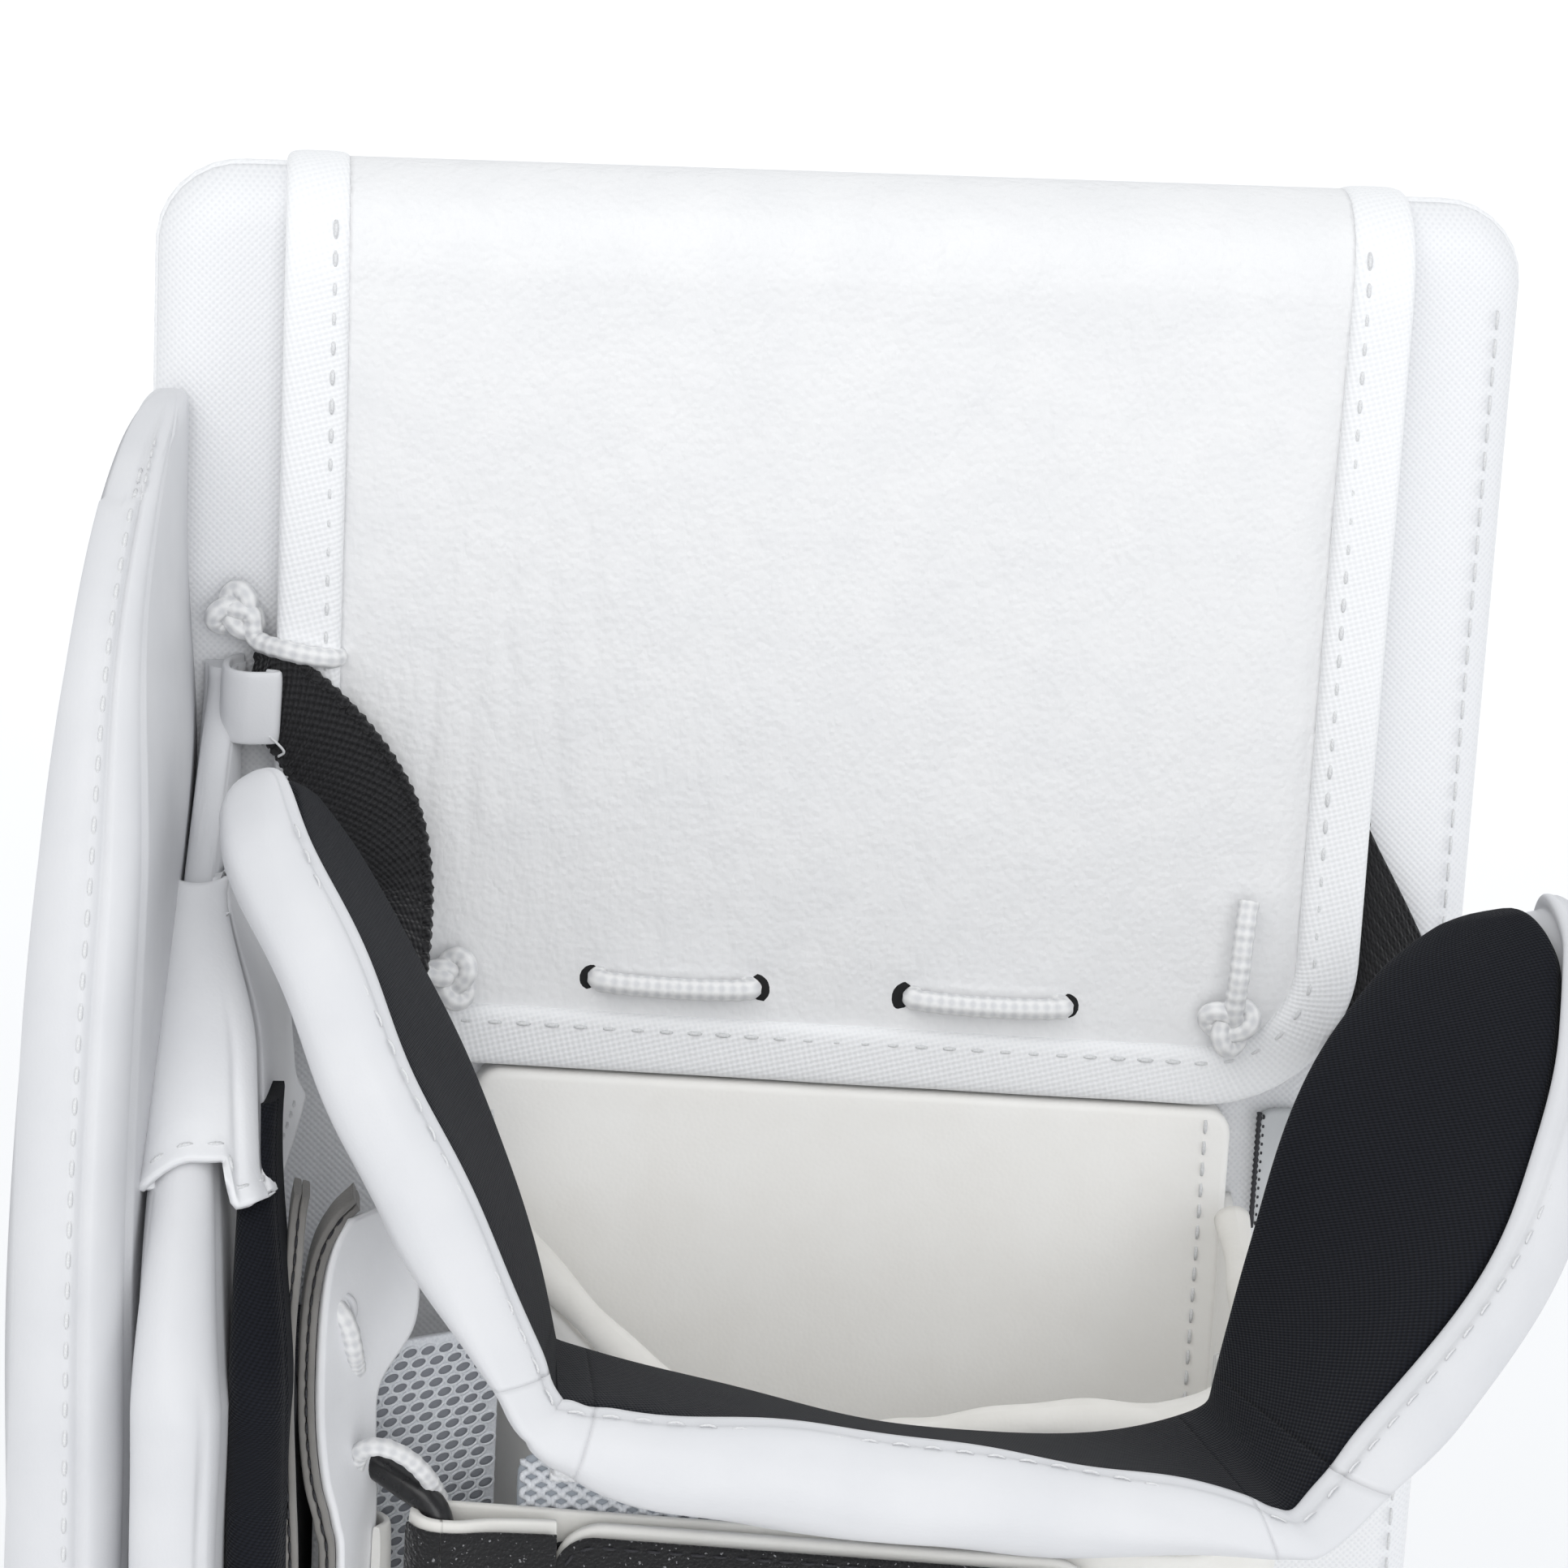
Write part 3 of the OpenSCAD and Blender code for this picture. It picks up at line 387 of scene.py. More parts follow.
def pebbled_leather():
    """White grained leather: fine pebbles, fainter coarse ones and long creases that run up the flap."""
    f = Finish("pebbled_leather", (0.81, 0.81, 0.815), 0.46, specular=0.45)
    f.vary(f.noise(9, 4), (0.78, 0.782, 0.79))
    f.raise_by(f.pebbles(1.1), 0.16, 0.75).raise_by(f.noise(0.5, 3), 0.1, 0.4)
    creases = f.noise(7, 4, f.stretched((1, 1, 0.45)))
    f.raise_by(f.math("ABSOLUTE", f.math("SUBTRACT", creases, 0.5)), 1.6, 0.5)
    return f.dull(f.noise(2, 2), 0.40, 0.55).mat


def padded_leather():
    """White smooth leather over padding: a faint grain and soft unevenness."""
    f = Finish("padded_leather", (0.68, 0.683, 0.70), 0.42, specular=0.4)
    f.vary(f.noise(14, 3), (0.645, 0.65, 0.67))
    f.raise_by(f.pebbles(0.45), 0.04, 0.35).raise_by(f.noise(6, 3), 0.25, 0.25)
    return f.dull(f.noise(5, 2), 0.36, 0.5).mat


def woven_nylon():
    """White nylon cloth: a plain weave of half a millimetre, with slubs."""
    f = Finish("woven_nylon", (0.82, 0.825, 0.84), 0.62, specular=0.3, sheen=0.2)
    weave = f.weave(0.55)
    f.vary(f.math("MULTIPLY_ADD", weave, 0.25), (0.67, 0.68, 0.71), 0.0, 0.5)
    f.raise_by(weave, 0.1, 0.5).raise_by(f.noise(5, 3), 0.4, 0.2)
    return f.mat


def woven_binding():
    """White edge binding: the same cloth on the bias, following the edge that it wraps."""
    f = Finish("woven_binding", (0.86, 0.865, 0.875), 0.6, coords="UV", specular=0.3, sheen=0.25)
    weave = f.weave(0.6, (0, 1), f.stretched(turn=(0, 0, 0.5)))
    f.vary(f.math("MULTIPLY_ADD", weave, 0.25), (0.76, 0.77, 0.79), 0.0, 0.5)
    f.raise_by(weave, 0.1, 0.5).raise_by(f.noise(4, 3), 0.4, 0.25)
    return f.mat


def braided_cord():
    """White waxed cord: strands in two directions along the cord, darker between them."""
    f = Finish("braided_cord", (0.82, 0.82, 0.82), 0.5, coords="UV", specular=0.35)
    weave = f.weave(1.15, (0, 1), f.stretched(turn=(0, 0, 0.785)))
    f.vary(f.math("MULTIPLY_ADD", weave, 0.5), (0.66, 0.665, 0.68), 0.1, 0.7)
    f.raise_by(weave, 0.2, 0.5).raise_by(f.noise(0.25, 2, f.stretched((0.4, 3, 1))), 0.08, 0.4)
    return f.mat


def sewing_thread(name, color):
    """Twisted thread: fine oblique plies."""
    f = Finish(name, color, 0.55, coords="UV")
    f.vary(f.noise(0.4, 2), tuple(0.8 * c for c in color))
    f.raise_by(f.wave(f.axis(f.stretched(turn=(0, 0, 0.6)), 0), 0.35), 0.08, 0.5)
    return f.mat


def black_knit():
    """Black brushed knit: tight oblique rows with a blue cast and a soft sheen."""
    f = Finish("black_knit", (0.0095, 0.011, 0.0165), 0.85, coords="UV", specular=0.15, sheen=0.05)
    rows = f.weave(0.55, (0, 1), f.stretched((1, 1.6, 1), (0, 0, 0.42)))
    f.vary(f.math("MULTIPLY_ADD", rows, 0.5), (0.0035, 0.004, 0.006), 0.15, 0.85)
    f.raise_by(rows, 0.14, 0.6).raise_by(f.noise(7, 2), 0.5, 0.25)
    return f.mat


def black_elastic():
    """Black woven elastic: ribs across the width, each broken into small oblique floats."""
    f = Finish("black_elastic", (0.016, 0.016, 0.018), 0.62, coords="UV", specular=0.35, sheen=0.1)
    floats = f.weave(0.75, (0, 1), f.stretched((1, 1.35, 1), (0, 0, 0.35)))
    f.vary(f.math("MULTIPLY_ADD", floats, 0.5), (0.004, 0.004, 0.005), 0.2, 0.8)
    f.raise_by(floats, 0.3, 0.8)
    return f.mat


def white_elastic():
    """White ribbed elastic."""
    f = Finish("white_elastic", (0.78, 0.78, 0.77), 0.6, coords="UV", sheen=0.2)
    ribs = f.wave(f.axis(f.place, 0), 1.1)
    f.vary(ribs, (0.62, 0.62, 0.62), 0.0, 0.8)
    f.raise_by(ribs, 0.3, 0.6)
    return f.mat


def soft_leather(name, color, shade, coords="Object"):
    """Soft hand leather: fine pores, clouded colour and shallow creases."""
    f = Finish(name, color, 0.62, coords=coords, specular=0.3, sheen=0.15)
    f.vary(f.noise(11, 4), shade)
    f.raise_by(f.pebbles(0.62), 0.06, 0.4).raise_by(f.noise(3.5, 3), 0.3, 0.2)
    return f.dull(f.noise(4, 2), 0.55, 0.72).mat


def perforated_leather():
    """Dark grey palm leather with rows of small punched holes."""
    f = Finish("perforated_leather", (0.055, 0.055, 0.06), 0.6, specular=0.35)
    dots = f.math("MULTIPLY", f.wave(f.axis(f.place, 0), 2.2), f.wave(f.axis(f.place, 2), 2.2))
    f.vary(dots, (0.075, 0.075, 0.08), 0.0, 0.5)
    f.raise_by(f.math("GREATER_THAN", dots, 0.8), -0.4, 0.7).raise_by(f.pebbles(0.5), 0.05, 0.4)
    return f.mat


def mesh_yarn():
    """White spacer-mesh yarn: fine bright filaments."""
    f = Finish("mesh_yarn", (0.78, 0.80, 0.83), 0.42, specular=0.5, sheen=0.2)
    f.vary(f.noise(0.4, 2), (0.64, 0.66, 0.70))
    f.raise_by(f.noise(0.25, 2), 0.1, 0.5)
    return f.mat


def hook_and_loop():
    """Black hook-and-loop tape: a fuzz of tiny loops with pale lint caught in it."""
    f = Finish("hook_and_loop", (0.012, 0.012, 0.013), 0.8, specular=0.3, sheen=0.2)
    lint = f.math("GREATER_THAN", f.noise(0.7, 2), 0.69)
    f.color = (0.25, 0.25, 0.26)
    f.vary(lint, (0.012, 0.012, 0.013), 0.3, 0.9)
    f.raise_by(f.pebbles(0.55), 0.35, 0.9).raise_by(f.noise(0.3, 2), 0.2, 0.6)
    return f.mat


def black_plastic():
    """Black moulded plastic: satin, with the faint ripple of the mould."""
    f = Finish("black_plastic", (0.012, 0.012, 0.013), 0.28, specular=0.5)
    f.raise_by(f.noise(3, 2), 0.06, 0.3)
    return f.dull(f.noise(1.2, 3), 0.22, 0.36).mat


def board_leather():
    """White board leather: a tight smooth grain with light scuffs."""
    f = Finish("board_leather", (0.765, 0.765, 0.765), 0.36, specular=0.5)
    f.vary(f.noise(25, 4), (0.735, 0.74, 0.745))
    f.raise_by(f.pebbles(0.5), 0.05, 0.4).raise_by(f.noise(12, 3), 0.4, 0.2)
    return f.dull(f.noise(6, 3), 0.3, 0.48).mat


def inner_foam(name, color):
    """Closed-cell filling that the covers hide."""
    f = Finish(name, color, 0.9)
    f.raise_by(f.pebbles(1.5), 0.2, 0.5)
    return f.vary(f.noise(5), tuple(0.85 * c for c in color)).mat


PEBBLED = pebbled_leather()
PADDED = padded_leather()
NYLON = woven_nylon()
BINDING = woven_binding()
CORD = braided_cord()
THREAD = sewing_thread("white_thread", (0.77, 0.775, 0.785))
DARK_THREAD = sewing_thread("dark_thread", (0.03, 0.03, 0.035))
KNIT = black_knit()
ELASTIC = black_elastic()
WHITE_ELASTIC = white_elastic()
CREAM = soft_leather("cream_leather", (0.92, 0.91, 0.885), (0.895, 0.88, 0.85))
ROLLED_CREAM = soft_leather("rolled_cream_leather", (0.86, 0.84, 0.80), (0.80, 0.78, 0.735), "UV")
# Painted light: a brighter copy of the white padded leather for the guard strap and the thumb-side leather,
# lifting the shade that falls on them.
PAINTED_LIGHT_WHITE = soft_leather("painted_light_white_leather", (0.83, 0.835, 0.85), (0.795, 0.80, 0.82))
PALM = soft_leather("palm_leather", (0.82, 0.81, 0.785), (0.76, 0.75, 0.72))
GREY = soft_leather("grey_leather", (0.56, 0.575, 0.585), (0.48, 0.495, 0.51))
PUNCHED = perforated_leather()
YARN = mesh_yarn()
FUZZ = hook_and_loop()
PLASTIC = black_plastic()
BOARD_FINISH = board_leather()
HOLE_SHADE = Finish("hole_shade", (0.012, 0.012, 0.013), 0.9).mat
FOAM = inner_foam("inner_foam", (0.5, 0.52, 0.55))
SHEET = inner_foam("inner_sheet", (0.75, 0.75, 0.74))


# Camera, light and floor

def make_camera():
    """The photograph's view: a long lens above the cuff, looking down on the palm side, turned a little."""
    place, azimuth, elevation, roll = (-86.61, -759.97, 517.25), -6.04, 16.53, 2.93
    a, e, r = (math.radians(v) for v in (azimuth, elevation, roll))
    back = Vector((math.sin(a) * math.cos(e), -math.cos(a) * math.cos(e), math.sin(e)))
    right = (-back).cross(Vector((0, 0, 1))).normalized()
    up = right.cross(-back)
    turned_right = right * math.cos(r) + up * math.sin(r)
    turned_up = up * math.cos(r) - right * math.sin(r)
    camera = bpy.data.cameras.new("camera")
    camera.sensor_width = 36
    camera.lens = 121.1
    camera.clip_start, camera.clip_end = 0.05, 50
    obj = bpy.data.objects.new("camera", camera)
    turn = Matrix((turned_right, turned_up, back)).transposed().to_4x4()
    obj.matrix_world = Matrix.Translation(Vector(place) * MM) @ turn
    bpy.context.scene.collection.objects.link(obj)
    bpy.context.scene.camera = obj


def soft_light(name, place, aim, size, watts, color, spread=3.14):
    """A square studio light, aimed at a point."""
    light = bpy.data.lights.new(name, "AREA")
    light.size = size
    light.energy = watts
    light.spread = spread
    light.color = color
    obj = bpy.data.objects.new(name, light)
    obj.location = place
    obj.rotation_euler = (Vector(aim) - Vector(place)).to_track_quat("-Z", "Y").to_euler()
    bpy.context.scene.collection.objects.link(obj)


WORLD_STRENGTH = 0.84
KEY_WATTS = 6
SIDE_WATTS = 1.5
BACK_WATTS = 2
FRONT_WATTS = 11
SWEEP_WATTS = 10


def make_studio():
    """A pale sweep of floor, a white surround and large soft lights on all sides."""
    world = bpy.data.worlds.new("white_surround")
    world.use_nodes = True
    world.node_tree.nodes["Background"].inputs["Color"].default_value = (0.96, 0.98, 1.0, 1)
    world.node_tree.nodes["Background"].inputs["Strength"].default_value = WORLD_STRENGTH
    bpy.context.scene.world = world
    bpy.context.scene.view_settings.view_transform = "Standard"
    floor = bpy.data.meshes.new("floor")
    half = 6.0
    floor.from_pydata([(-half, -half, 0), (half, -half, 0), (half, half, 0), (-half, half, 0)], [],
                      [(0, 1, 2, 3)])
    pale = Finish("pale_floor", (0.95, 0.95, 0.955), 0.7)
    pale.vary(pale.noise(300, 2), (0.94, 0.94, 0.945))
    floor.materials.append(pale.mat)
    obj = bpy.data.objects.new("floor", floor)
    bpy.context.scene.collection.objects.link(obj)
    aim = (0, -0.02, 0.25)
    soft_light("key_light", (-0.7, -1.1, 1.5), aim, 1.0, KEY_WATTS, (1, 0.99, 0.97))
    soft_light("side_light", (1.3, -0.6, 0.7), aim, 1.0, SIDE_WATTS, (0.95, 0.97, 1))
    soft_light("back_light", (0.4, 1.3, 1.4), aim, 1.0, BACK_WATTS, (1, 1, 1))
    soft_light("front_light", (0.1, -2.3, 0.9), aim, 1.4, FRONT_WATTS, (1, 1, 1))
    soft_light("sweep_light", (0, 2.6, 2.2), (0, 2.7, 0), 3.0, SWEEP_WATTS, (1, 1, 1), 1.3)


make_camera()
make_studio()


# Board

def rounded_outline(low, high, radii, count):
    """A closed outline in X and Z: straight sides joined by quarter circles, sampled evenly.

    The radii are those of the corners at low X low Z, high X low Z, high X high Z and low X high Z.
    """
    corners = [(low[0], low[1], 1, 1, 180), (high[0], low[1], -1, 1, 270), (high[0], high[1], -1, -1, 0),
               (low[0], high[1], 1, -1, 90)]
    turns = []
    for (x, z, sx, sz, start), r in zip(corners, radii):
        a = np.radians(start + np.linspace(0, 90, 16))
        turns.append(np.stack([x + sx * r + r * np.cos(a), z + sz * r + r * np.sin(a)], axis=1))
    line = np.vstack(turns + [turns[0][:1]])
    return evenly(line, count + 1)[:-1]


def outward(outline):
    """Directions out of a closed outline that runs anticlockwise."""
    t = tangents(outline, closed=True)
    return np.stack([t[:, 1], -t[:, 0]], axis=1)


def pillow_rings(outline, profile, shrink, crown):
    """Rings of a padded plate: the outline drawn in by each profile step (inset, depth), then to a middle.

    The middle rings carry the crown: the last depth less crown times one minus the square of the shrink.
    """
    out = outward(outline)
    rings = [np.insert(outline - out * inset, 1, depth, axis=1) for inset, depth in profile]
    inner = outline - out * profile[-1][0]
    middle = inner.mean(axis=0)
    for k in shrink:
        ring = middle + (inner - middle) * k
        rings.append(np.insert(ring, 1, profile[-1][1] - crown * (1 - k**2), axis=1))
    return np.array(rings)


SHRINK = (0.97, 0.92, 0.82, 0.68, 0.5, 0.3, 0.12, 0.02)


def shell_profile(seam, face, radius, tuck, steps=7):
    """A cover's edge in section: tucked in at the seam, round the edge and on to the face."""
    a = np.linspace(0, np.pi / 2, steps)
    way = np.sign(face - seam)
    turn = [(radius * (1 - math.cos(t)), face - way * radius * (1 - math.sin(t))) for t in a]
    return [(tuck, seam), (tuck / 4, seam)] + turn


def closed_pillow(outline, seam, face, radius, crown, tuck=2.5):
    """A cover as a closed form: its face, its rolled edge and a flat back at the seam."""
    front = pillow_rings(outline, shell_profile(seam, face, radius, tuck), SHRINK, crown)
    back = pillow_rings(outline, [(tuck, seam)], SHRINK, 0)[::-1]
    return np.concatenate([back[:-1], front])


BOARD_SEAM_Y = 9.0
BOARD_OUTLINE = rounded_outline((EDGE_X, 0), (-EDGE_X, BOARD_L), (12, 12, 12, 12), 420)


def make_board():
    """The board's two covers, its foam and stiff sheet, the piping at the seam and the stitch lines."""
    front = closed_pillow(BOARD_OUTLINE, BOARD_SEAM_Y + 0.5, BOARD_T - 0.8, 11, -0.8)
    cover = piece("board_front", [(front, False, True)], BOARD_FINISH, "board",
                  ["board_front_cover"])
    back = closed_pillow(BOARD_OUTLINE, BOARD_SEAM_Y - 0.5, 0.2, 8, 0.2)
    piece("board_back", [(back, False, True)], NYLON, "board", ["board_back_cover"])
    within = rounded_outline((EDGE_X + 6, 6), (-EDGE_X - 6, BOARD_L - 6), (8, 8, 8, 8), 160)
    core = closed_pillow(within, 5, 18, 5, 0)
    piece("board_core", [(core, False, True)], FOAM, "board", ["board_foam"])
    sheet = closed_pillow(within, 4, 2.4, 0.6, 0)
    piece("board_sheet", [(sheet, False, True)], SHEET, "board", ["board_stiffener"])
    line = np.insert(BOARD_OUTLINE - outward(BOARD_OUTLINE) * 0.9, 1, BOARD_SEAM_Y, axis=1)
    line[:, 2] = np.maximum(line[:, 2], 1.4)
    piping = tube_grid(line, 1.4, 10, (0, 1, 0), closed=True)
    piece("board_piping", [(piping, True, True)], BINDING, "board")
    seam = np.insert(BOARD_OUTLINE - outward(BOARD_OUTLINE) * 12, 1, BOARD_T - 0.62, axis=1)
    seam = seam[seam[:, 2] > 12]
    normal = np.broadcast_to([0.0, 1, 0], seam.shape)
    patches = stitch_grids(seam, normal)
    right = np.stack([np.full(60, -EDGE_X - 4.4), np.full(60, 0.15), np.linspace(30, BOARD_L - 14, 60)],
                     axis=1)
    patches += stitch_grids(right, np.broadcast_to([0.0, -1, 0], right.shape), radius=0.26)
    piece("board_stitches", patches, THREAD, "board")


make_board()


# Forearm flap

FLAP_FACE = FLAP_LOW[1]
BINDING_W = 9.5
LEATHER_LOW, LEATHER_HIGH = box("flap_leather")
HOLE_X = (-56, -34, -10, 14, 38, 63)
LACE_Z = 256.8
CORD_R = 1.6
FLAP_TILT, TILT_X = 0.045, 63

# Creases of the flap: x, and the heights between which each runs
FLAP_CREASES = ((-58, 268, 352), (-52, 262, 330), (-47, 285, 360), (-41, 275, 345), (-35, 300, 365))
FLAP_PROFILE = ((21, 372), (17.5, 379.3), (11, 382.2), (5, 382.7), (0, 381.3), (-4.2, 377.3), (-6.2, 371),
                (-6.5, 360))


def flap_line(z_low, out, count):
    """The flap in profile, in Y and Z: over the board's round end from its front edge and down, moved out.

    The last two columns are the profile's own outward direction.
    """
    curve = spline([*FLAP_PROFILE, (-6.5, 310), (-6.5, z_low)], 400)
    t = tangents(curve)
    normal = np.stack([t[:, 1], -t[:, 0]], axis=1)
    return evenly(np.hstack([curve + normal * out, normal]), count)


def hung(points):
    """The flap hangs askew: its lower part is raised towards the thumb side, by FLAP_TILT of the distance."""
    points = np.array(points, float)
    z = points[..., 2]
    points[..., 2] = z + FLAP_TILT * (TILT_X - points[..., 0]) * smooth((335 - z) / 75)
    return points


def make_flap_leather():
    """The grained panel: the flap's profile drawn across its width, crowned, hollowed at its lace holes.

    The crown is 1.2 (1 - u^4) 4 v (1 - v), u across and v up. Shallow upright creases near the thumb side
    and a dimple at each hole are taken from it. It sinks at its sides, where the binding holds it down.
    """
    line = flap_line(LEATHER_LOW[2] - 1, -0.2, 210)
    x = np.linspace(LEATHER_LOW[0] - 0.6, LEATHER_HIGH[0] + 0.6, 190)
    grid = np.empty((len(line), len(x), 3))
    grid[..., 0] = x[None]
    grid[..., 1] = line[:, :1]
    grid[..., 2] = line[:, 1:2]
    z = grid[..., 2]
    down = smooth((BOARD_L - 6 - z) / 45)
    u = x[None] / LEATHER_HIGH[0]
    v = (z - LEATHER_LOW[2]) / (BOARD_L - LEATHER_LOW[2])
    crown = 1.2 * (1 - u**4) * np.clip(4 * v * (1 - v), 0, 1)
    sway = 0.28 * np.sin(x[None] / 17 + z / 55) + 0.2 * np.sin(x[None] / 9 - z / 38 + 1)
    crease = sum(0.26 * bump_at(x[None], c + 2.2 * np.sin(z / 23 + c), 1.1) * smooth((z - a) / 20)
                 * smooth((b - z) / 25) for c, a, b in FLAP_CREASES)
    dimples = sum(0.7 * np.exp(-((x[None] - h) ** 2 + (z - LACE_Z) ** 2) / 6.0) for h in HOLE_X)
    edge = 0.8 * bump_at(np.abs(x[None]), LEATHER_HIGH[0] + 0.6, 3.0)
    grid[..., 1] += down * (-np.clip(crown, 0, 2) + 0.6 + sway * 0.5 + crease + dimples + edge)
    grid = hung(grid)
    panel = piece("flap_panel", [(grid[:, ::-1], False, False)], PEBBLED, "board",
                  ["flap_leather"])
    thicken(panel, 1.3)
    under = closed_pillow(rounded_outline((-73, 262), (73, 362), (6, 6, 6, 6), 120), -0.8, -4, 1.2, 0, 1.0)
    piece("flap_core", [(under, False, True)], FOAM, "board", ["flap_foam"])
    return grid


FLAP_CORNER = 24.0


def binding_path(inset, count):
    """The binding's middle line and outward direction: over the fold, down, round both corners and back."""
    half = FLAP_HIGH[0] - inset
    low = FLAP_LOW[2] + inset
    r = FLAP_CORNER - inset
    line = flap_line(low + r, -2.5, 60)
    flat = np.zeros(len(line))
    left = np.stack([flat - half, line[:, 0], line[:, 1], flat, line[:, 2], line[:, 3]], axis=1)
    a = np.linspace(np.pi, 1.5 * np.pi, 16)
    turn = np.zeros((16, 6))
    turn[:, 0] = -half + r + r * np.cos(a)
    turn[:, 1], turn[:, 2] = line[-1, 0], low + r + r * np.sin(a)
    turn[:, 4] = -1
    mirror = [-1, 1, 1, 1, 1, 1]
    both = evenly(np.vstack([left[:-1], turn, turn[::-1] * mirror, left[-2::-1] * mirror]), count)
    return hung(both[:, :3]), both[:, 3:]


def make_binding():
    """The woven edge: a rounded flat section round three sides, thinner over the fold, and its stitches."""
    path, face = binding_path(BINDING_W / 2, 420)
    along = tangents(path)
    face = unit(face - np.sum(face * along, axis=1, keepdims=True) * along)
    side = np.cross(along, face)
    inner = np.sign(np.sum(side * (np.array([0, -4, 330.0]) - path), axis=1, keepdims=True))
    s = np.linspace(0, 1, len(path))[:, None]
    ripple = 1 + 0.035 * np.sin(s * 90) + 0.03 * np.sin(s * 37 + 1)
    thin = 1 - 0.12 * smooth((path[:, 2:] - BOARD_L + 16) / 12)
    rows = super_section(32, 0.42) * [BINDING_W / 2, 3.3] * np.stack([np.ones_like(s), ripple * thin], axis=2)
    grid = path[:, None] + rows[..., :1] * (side * inner)[:, None] + rows[..., 1:] * face[:, None]
    piece("flap_edge", [(grid, False, True)], BINDING, "board", ["flap_binding"])
    line = path + side * inner * (BINDING_W / 2 - 2.3) + face * 3.12
    keep = line[:, 1] < FLAP_FACE + 2
    patches = stitch_grids(line[keep], face[keep], radius=0.38, length=2.8, sink=0.12)
    piece("flap_stitches", patches, THREAD, "board")


def hole_discs(places, normals, radius, lift=0.1, sides=14):
    """The dark mouths of holes: flat discs that lie on the leather and reach down into it."""
    grids = []
    a = 2 * np.pi * np.arange(sides) / sides
    for p, n in zip(np.asarray(places, float), unit(np.asarray(normals, float))):
        one = unit(np.cross(n, [0.2, 0.3, 1.0]))
        two = np.cross(n, one)
        ring = np.cos(a)[:, None] * one + np.sin(a)[:, None] * two
        steps = ((radius, -1.0), (radius, lift), (radius * 0.6, lift + 0.02))
        grids.append((np.array([p + ring * r + n * h for r, h in steps]), False, True))
    return grids


def knot_path(centre, size, turn=0.0, flat=0.62, count=120):
    """A pulled overhand knot: the trefoil (sin t + 2 sin 2t, cos t - 2 cos 2t, -sin 3t), pressed flat."""
    t = np.linspace(0, 2 * np.pi, count, endpoint=False)
    x = np.sin(t) + 2 * np.sin(2 * t)
    z = np.cos(t) - 2 * np.cos(2 * t)
    y = -np.sin(3 * t) * flat
    c, s = math.cos(turn), math.sin(turn)
    return np.asarray(centre) + size / 3 * np.stack([c * x - s * z, y, s * x + c * z], axis=1)


def make_flap_lace(panel):
    """The lace: over and under through the holes, with a knot and a tail at both ends."""
    out = LEATHER_LOW[1] - 1.3
    inside = LEATHER_LOW[1] + 3.0
    points = [[HOLE_X[0] - 15, out - 3.2, LACE_Z + 1.5], [HOLE_X[0] - 7, out - 3.4, LACE_Z + 0.8],
              [HOLE_X[0] - 1, out - 2.5, LACE_Z]]
    for i, x in enumerate(HOLE_X):
        low, high = (out, inside) if i % 2 == 0 else (inside, out)
        points += [[x - 1.0, low, LACE_Z], [x + 1.0, high, LACE_Z]]
        if i % 2 == 1 and i < 5:
            points += [[(x + HOLE_X[i + 1]) / 2, out - 0.5, LACE_Z - 0.3]]
    x = HOLE_X[5]
    points += [[x + 0.3, out - 2.5, LACE_Z + 2], [x + 0.5, out - 3.6, LACE_Z + 8],
               [x + 1, out - 2.6, LACE_Z + 15], [x + 1.6, out - 1.2, LACE_Z + 19.5]]
    path = hung(spline(points, 520))
    piece("flap_cord", [(braid_grid(path, CORD_R), False, True)], CORD, "board",
          ["flap_lace"])
    knots = [tube_grid(hung(knot_path((HOLE_X[k], out - 1.4, LACE_Z - 0.5), 3.7, turn)), CORD_R * 0.95, 14,
                       (0, 1, 0), True) for k, turn in ((0, 0.5), (5, 0.1))]
    piece("flap_knots", [(k, True, True) for k in knots], CORD, "board", ["flap_lace_knots"])
    places = []
    for i in range(1, 5):
        place = hung([HOLE_X[i] + (1.7 if i % 2 == 0 else -1.7), 0, LACE_Z])
        gap = np.hypot(panel[..., 0] - place[0], panel[..., 2] - place[2])
        place[1] = panel[..., 1].ravel()[gap.argmin()] - 0.05
        places.append(place)
    piece("lace_holes", hole_discs(places, [[0, -1, 0]] * 4, 2.3), HOLE_SHADE, "board")


make_binding()
make_flap_lace(make_flap_leather())


# Thumb side: sidewall, guard, strap

def grid_normals(grid, inside):
    """Surface directions of a grid of points, turned away from an inside point."""
    n = unit(np.cross(np.gradient(grid, axis=0), np.gradient(grid, axis=1)))
    return n * np.sign(np.sum(n * (grid - inside), axis=-1, keepdims=True))


def rounding(near, radius):
    """A round end: the half chord of a circle, from its tip to its full width."""
    return np.sqrt(np.clip(1 - (1 - np.clip(near / radius, 0, 1)) ** 2, 0.003, 1))


def upright(z, s, inner, outer, height, foot=0.3, leans=(0.1, 0.1), puff=0.0):
    """An upright padded wall: up its inner face, over a round crest and down its outer face as s goes 0 to 1.

    The faces lean out with depth and swell by puff times the sine of the way up. The crest is a half ellipse.
    """
    rise = height - foot
    inner_top = inner - leans[0] * height
    outer_top = outer - leans[1] * height
    half = (inner_top - outer_top) / 2
    crest = np.minimum(half, 0.8 * rise)
    up = np.clip(np.where(s < 0.5, s, 1 - s) / 0.34, 0, 1)
    depth = foot + (rise - crest) * up
    a = np.pi * np.clip((s - 0.34) / 0.32, 0, 1)
    swell = puff * np.sin(np.pi * up)
    x = np.where(s < 0.5, inner - leans[0] * depth + swell, outer - leans[1] * depth - swell)
    over = (s > 0.34) & (s < 0.66)
    x = np.where(over, (inner_top + outer_top) / 2 + half * np.cos(a), x)
    depth = np.where(over, height - crest + crest * np.sin(a), depth)
    return np.stack([x, -depth, np.broadcast_to(z, x.shape)], axis=-1)


WALL_LOW, WALL_HIGH = box("sidewall_cover")
WALL_FULL = 222.0


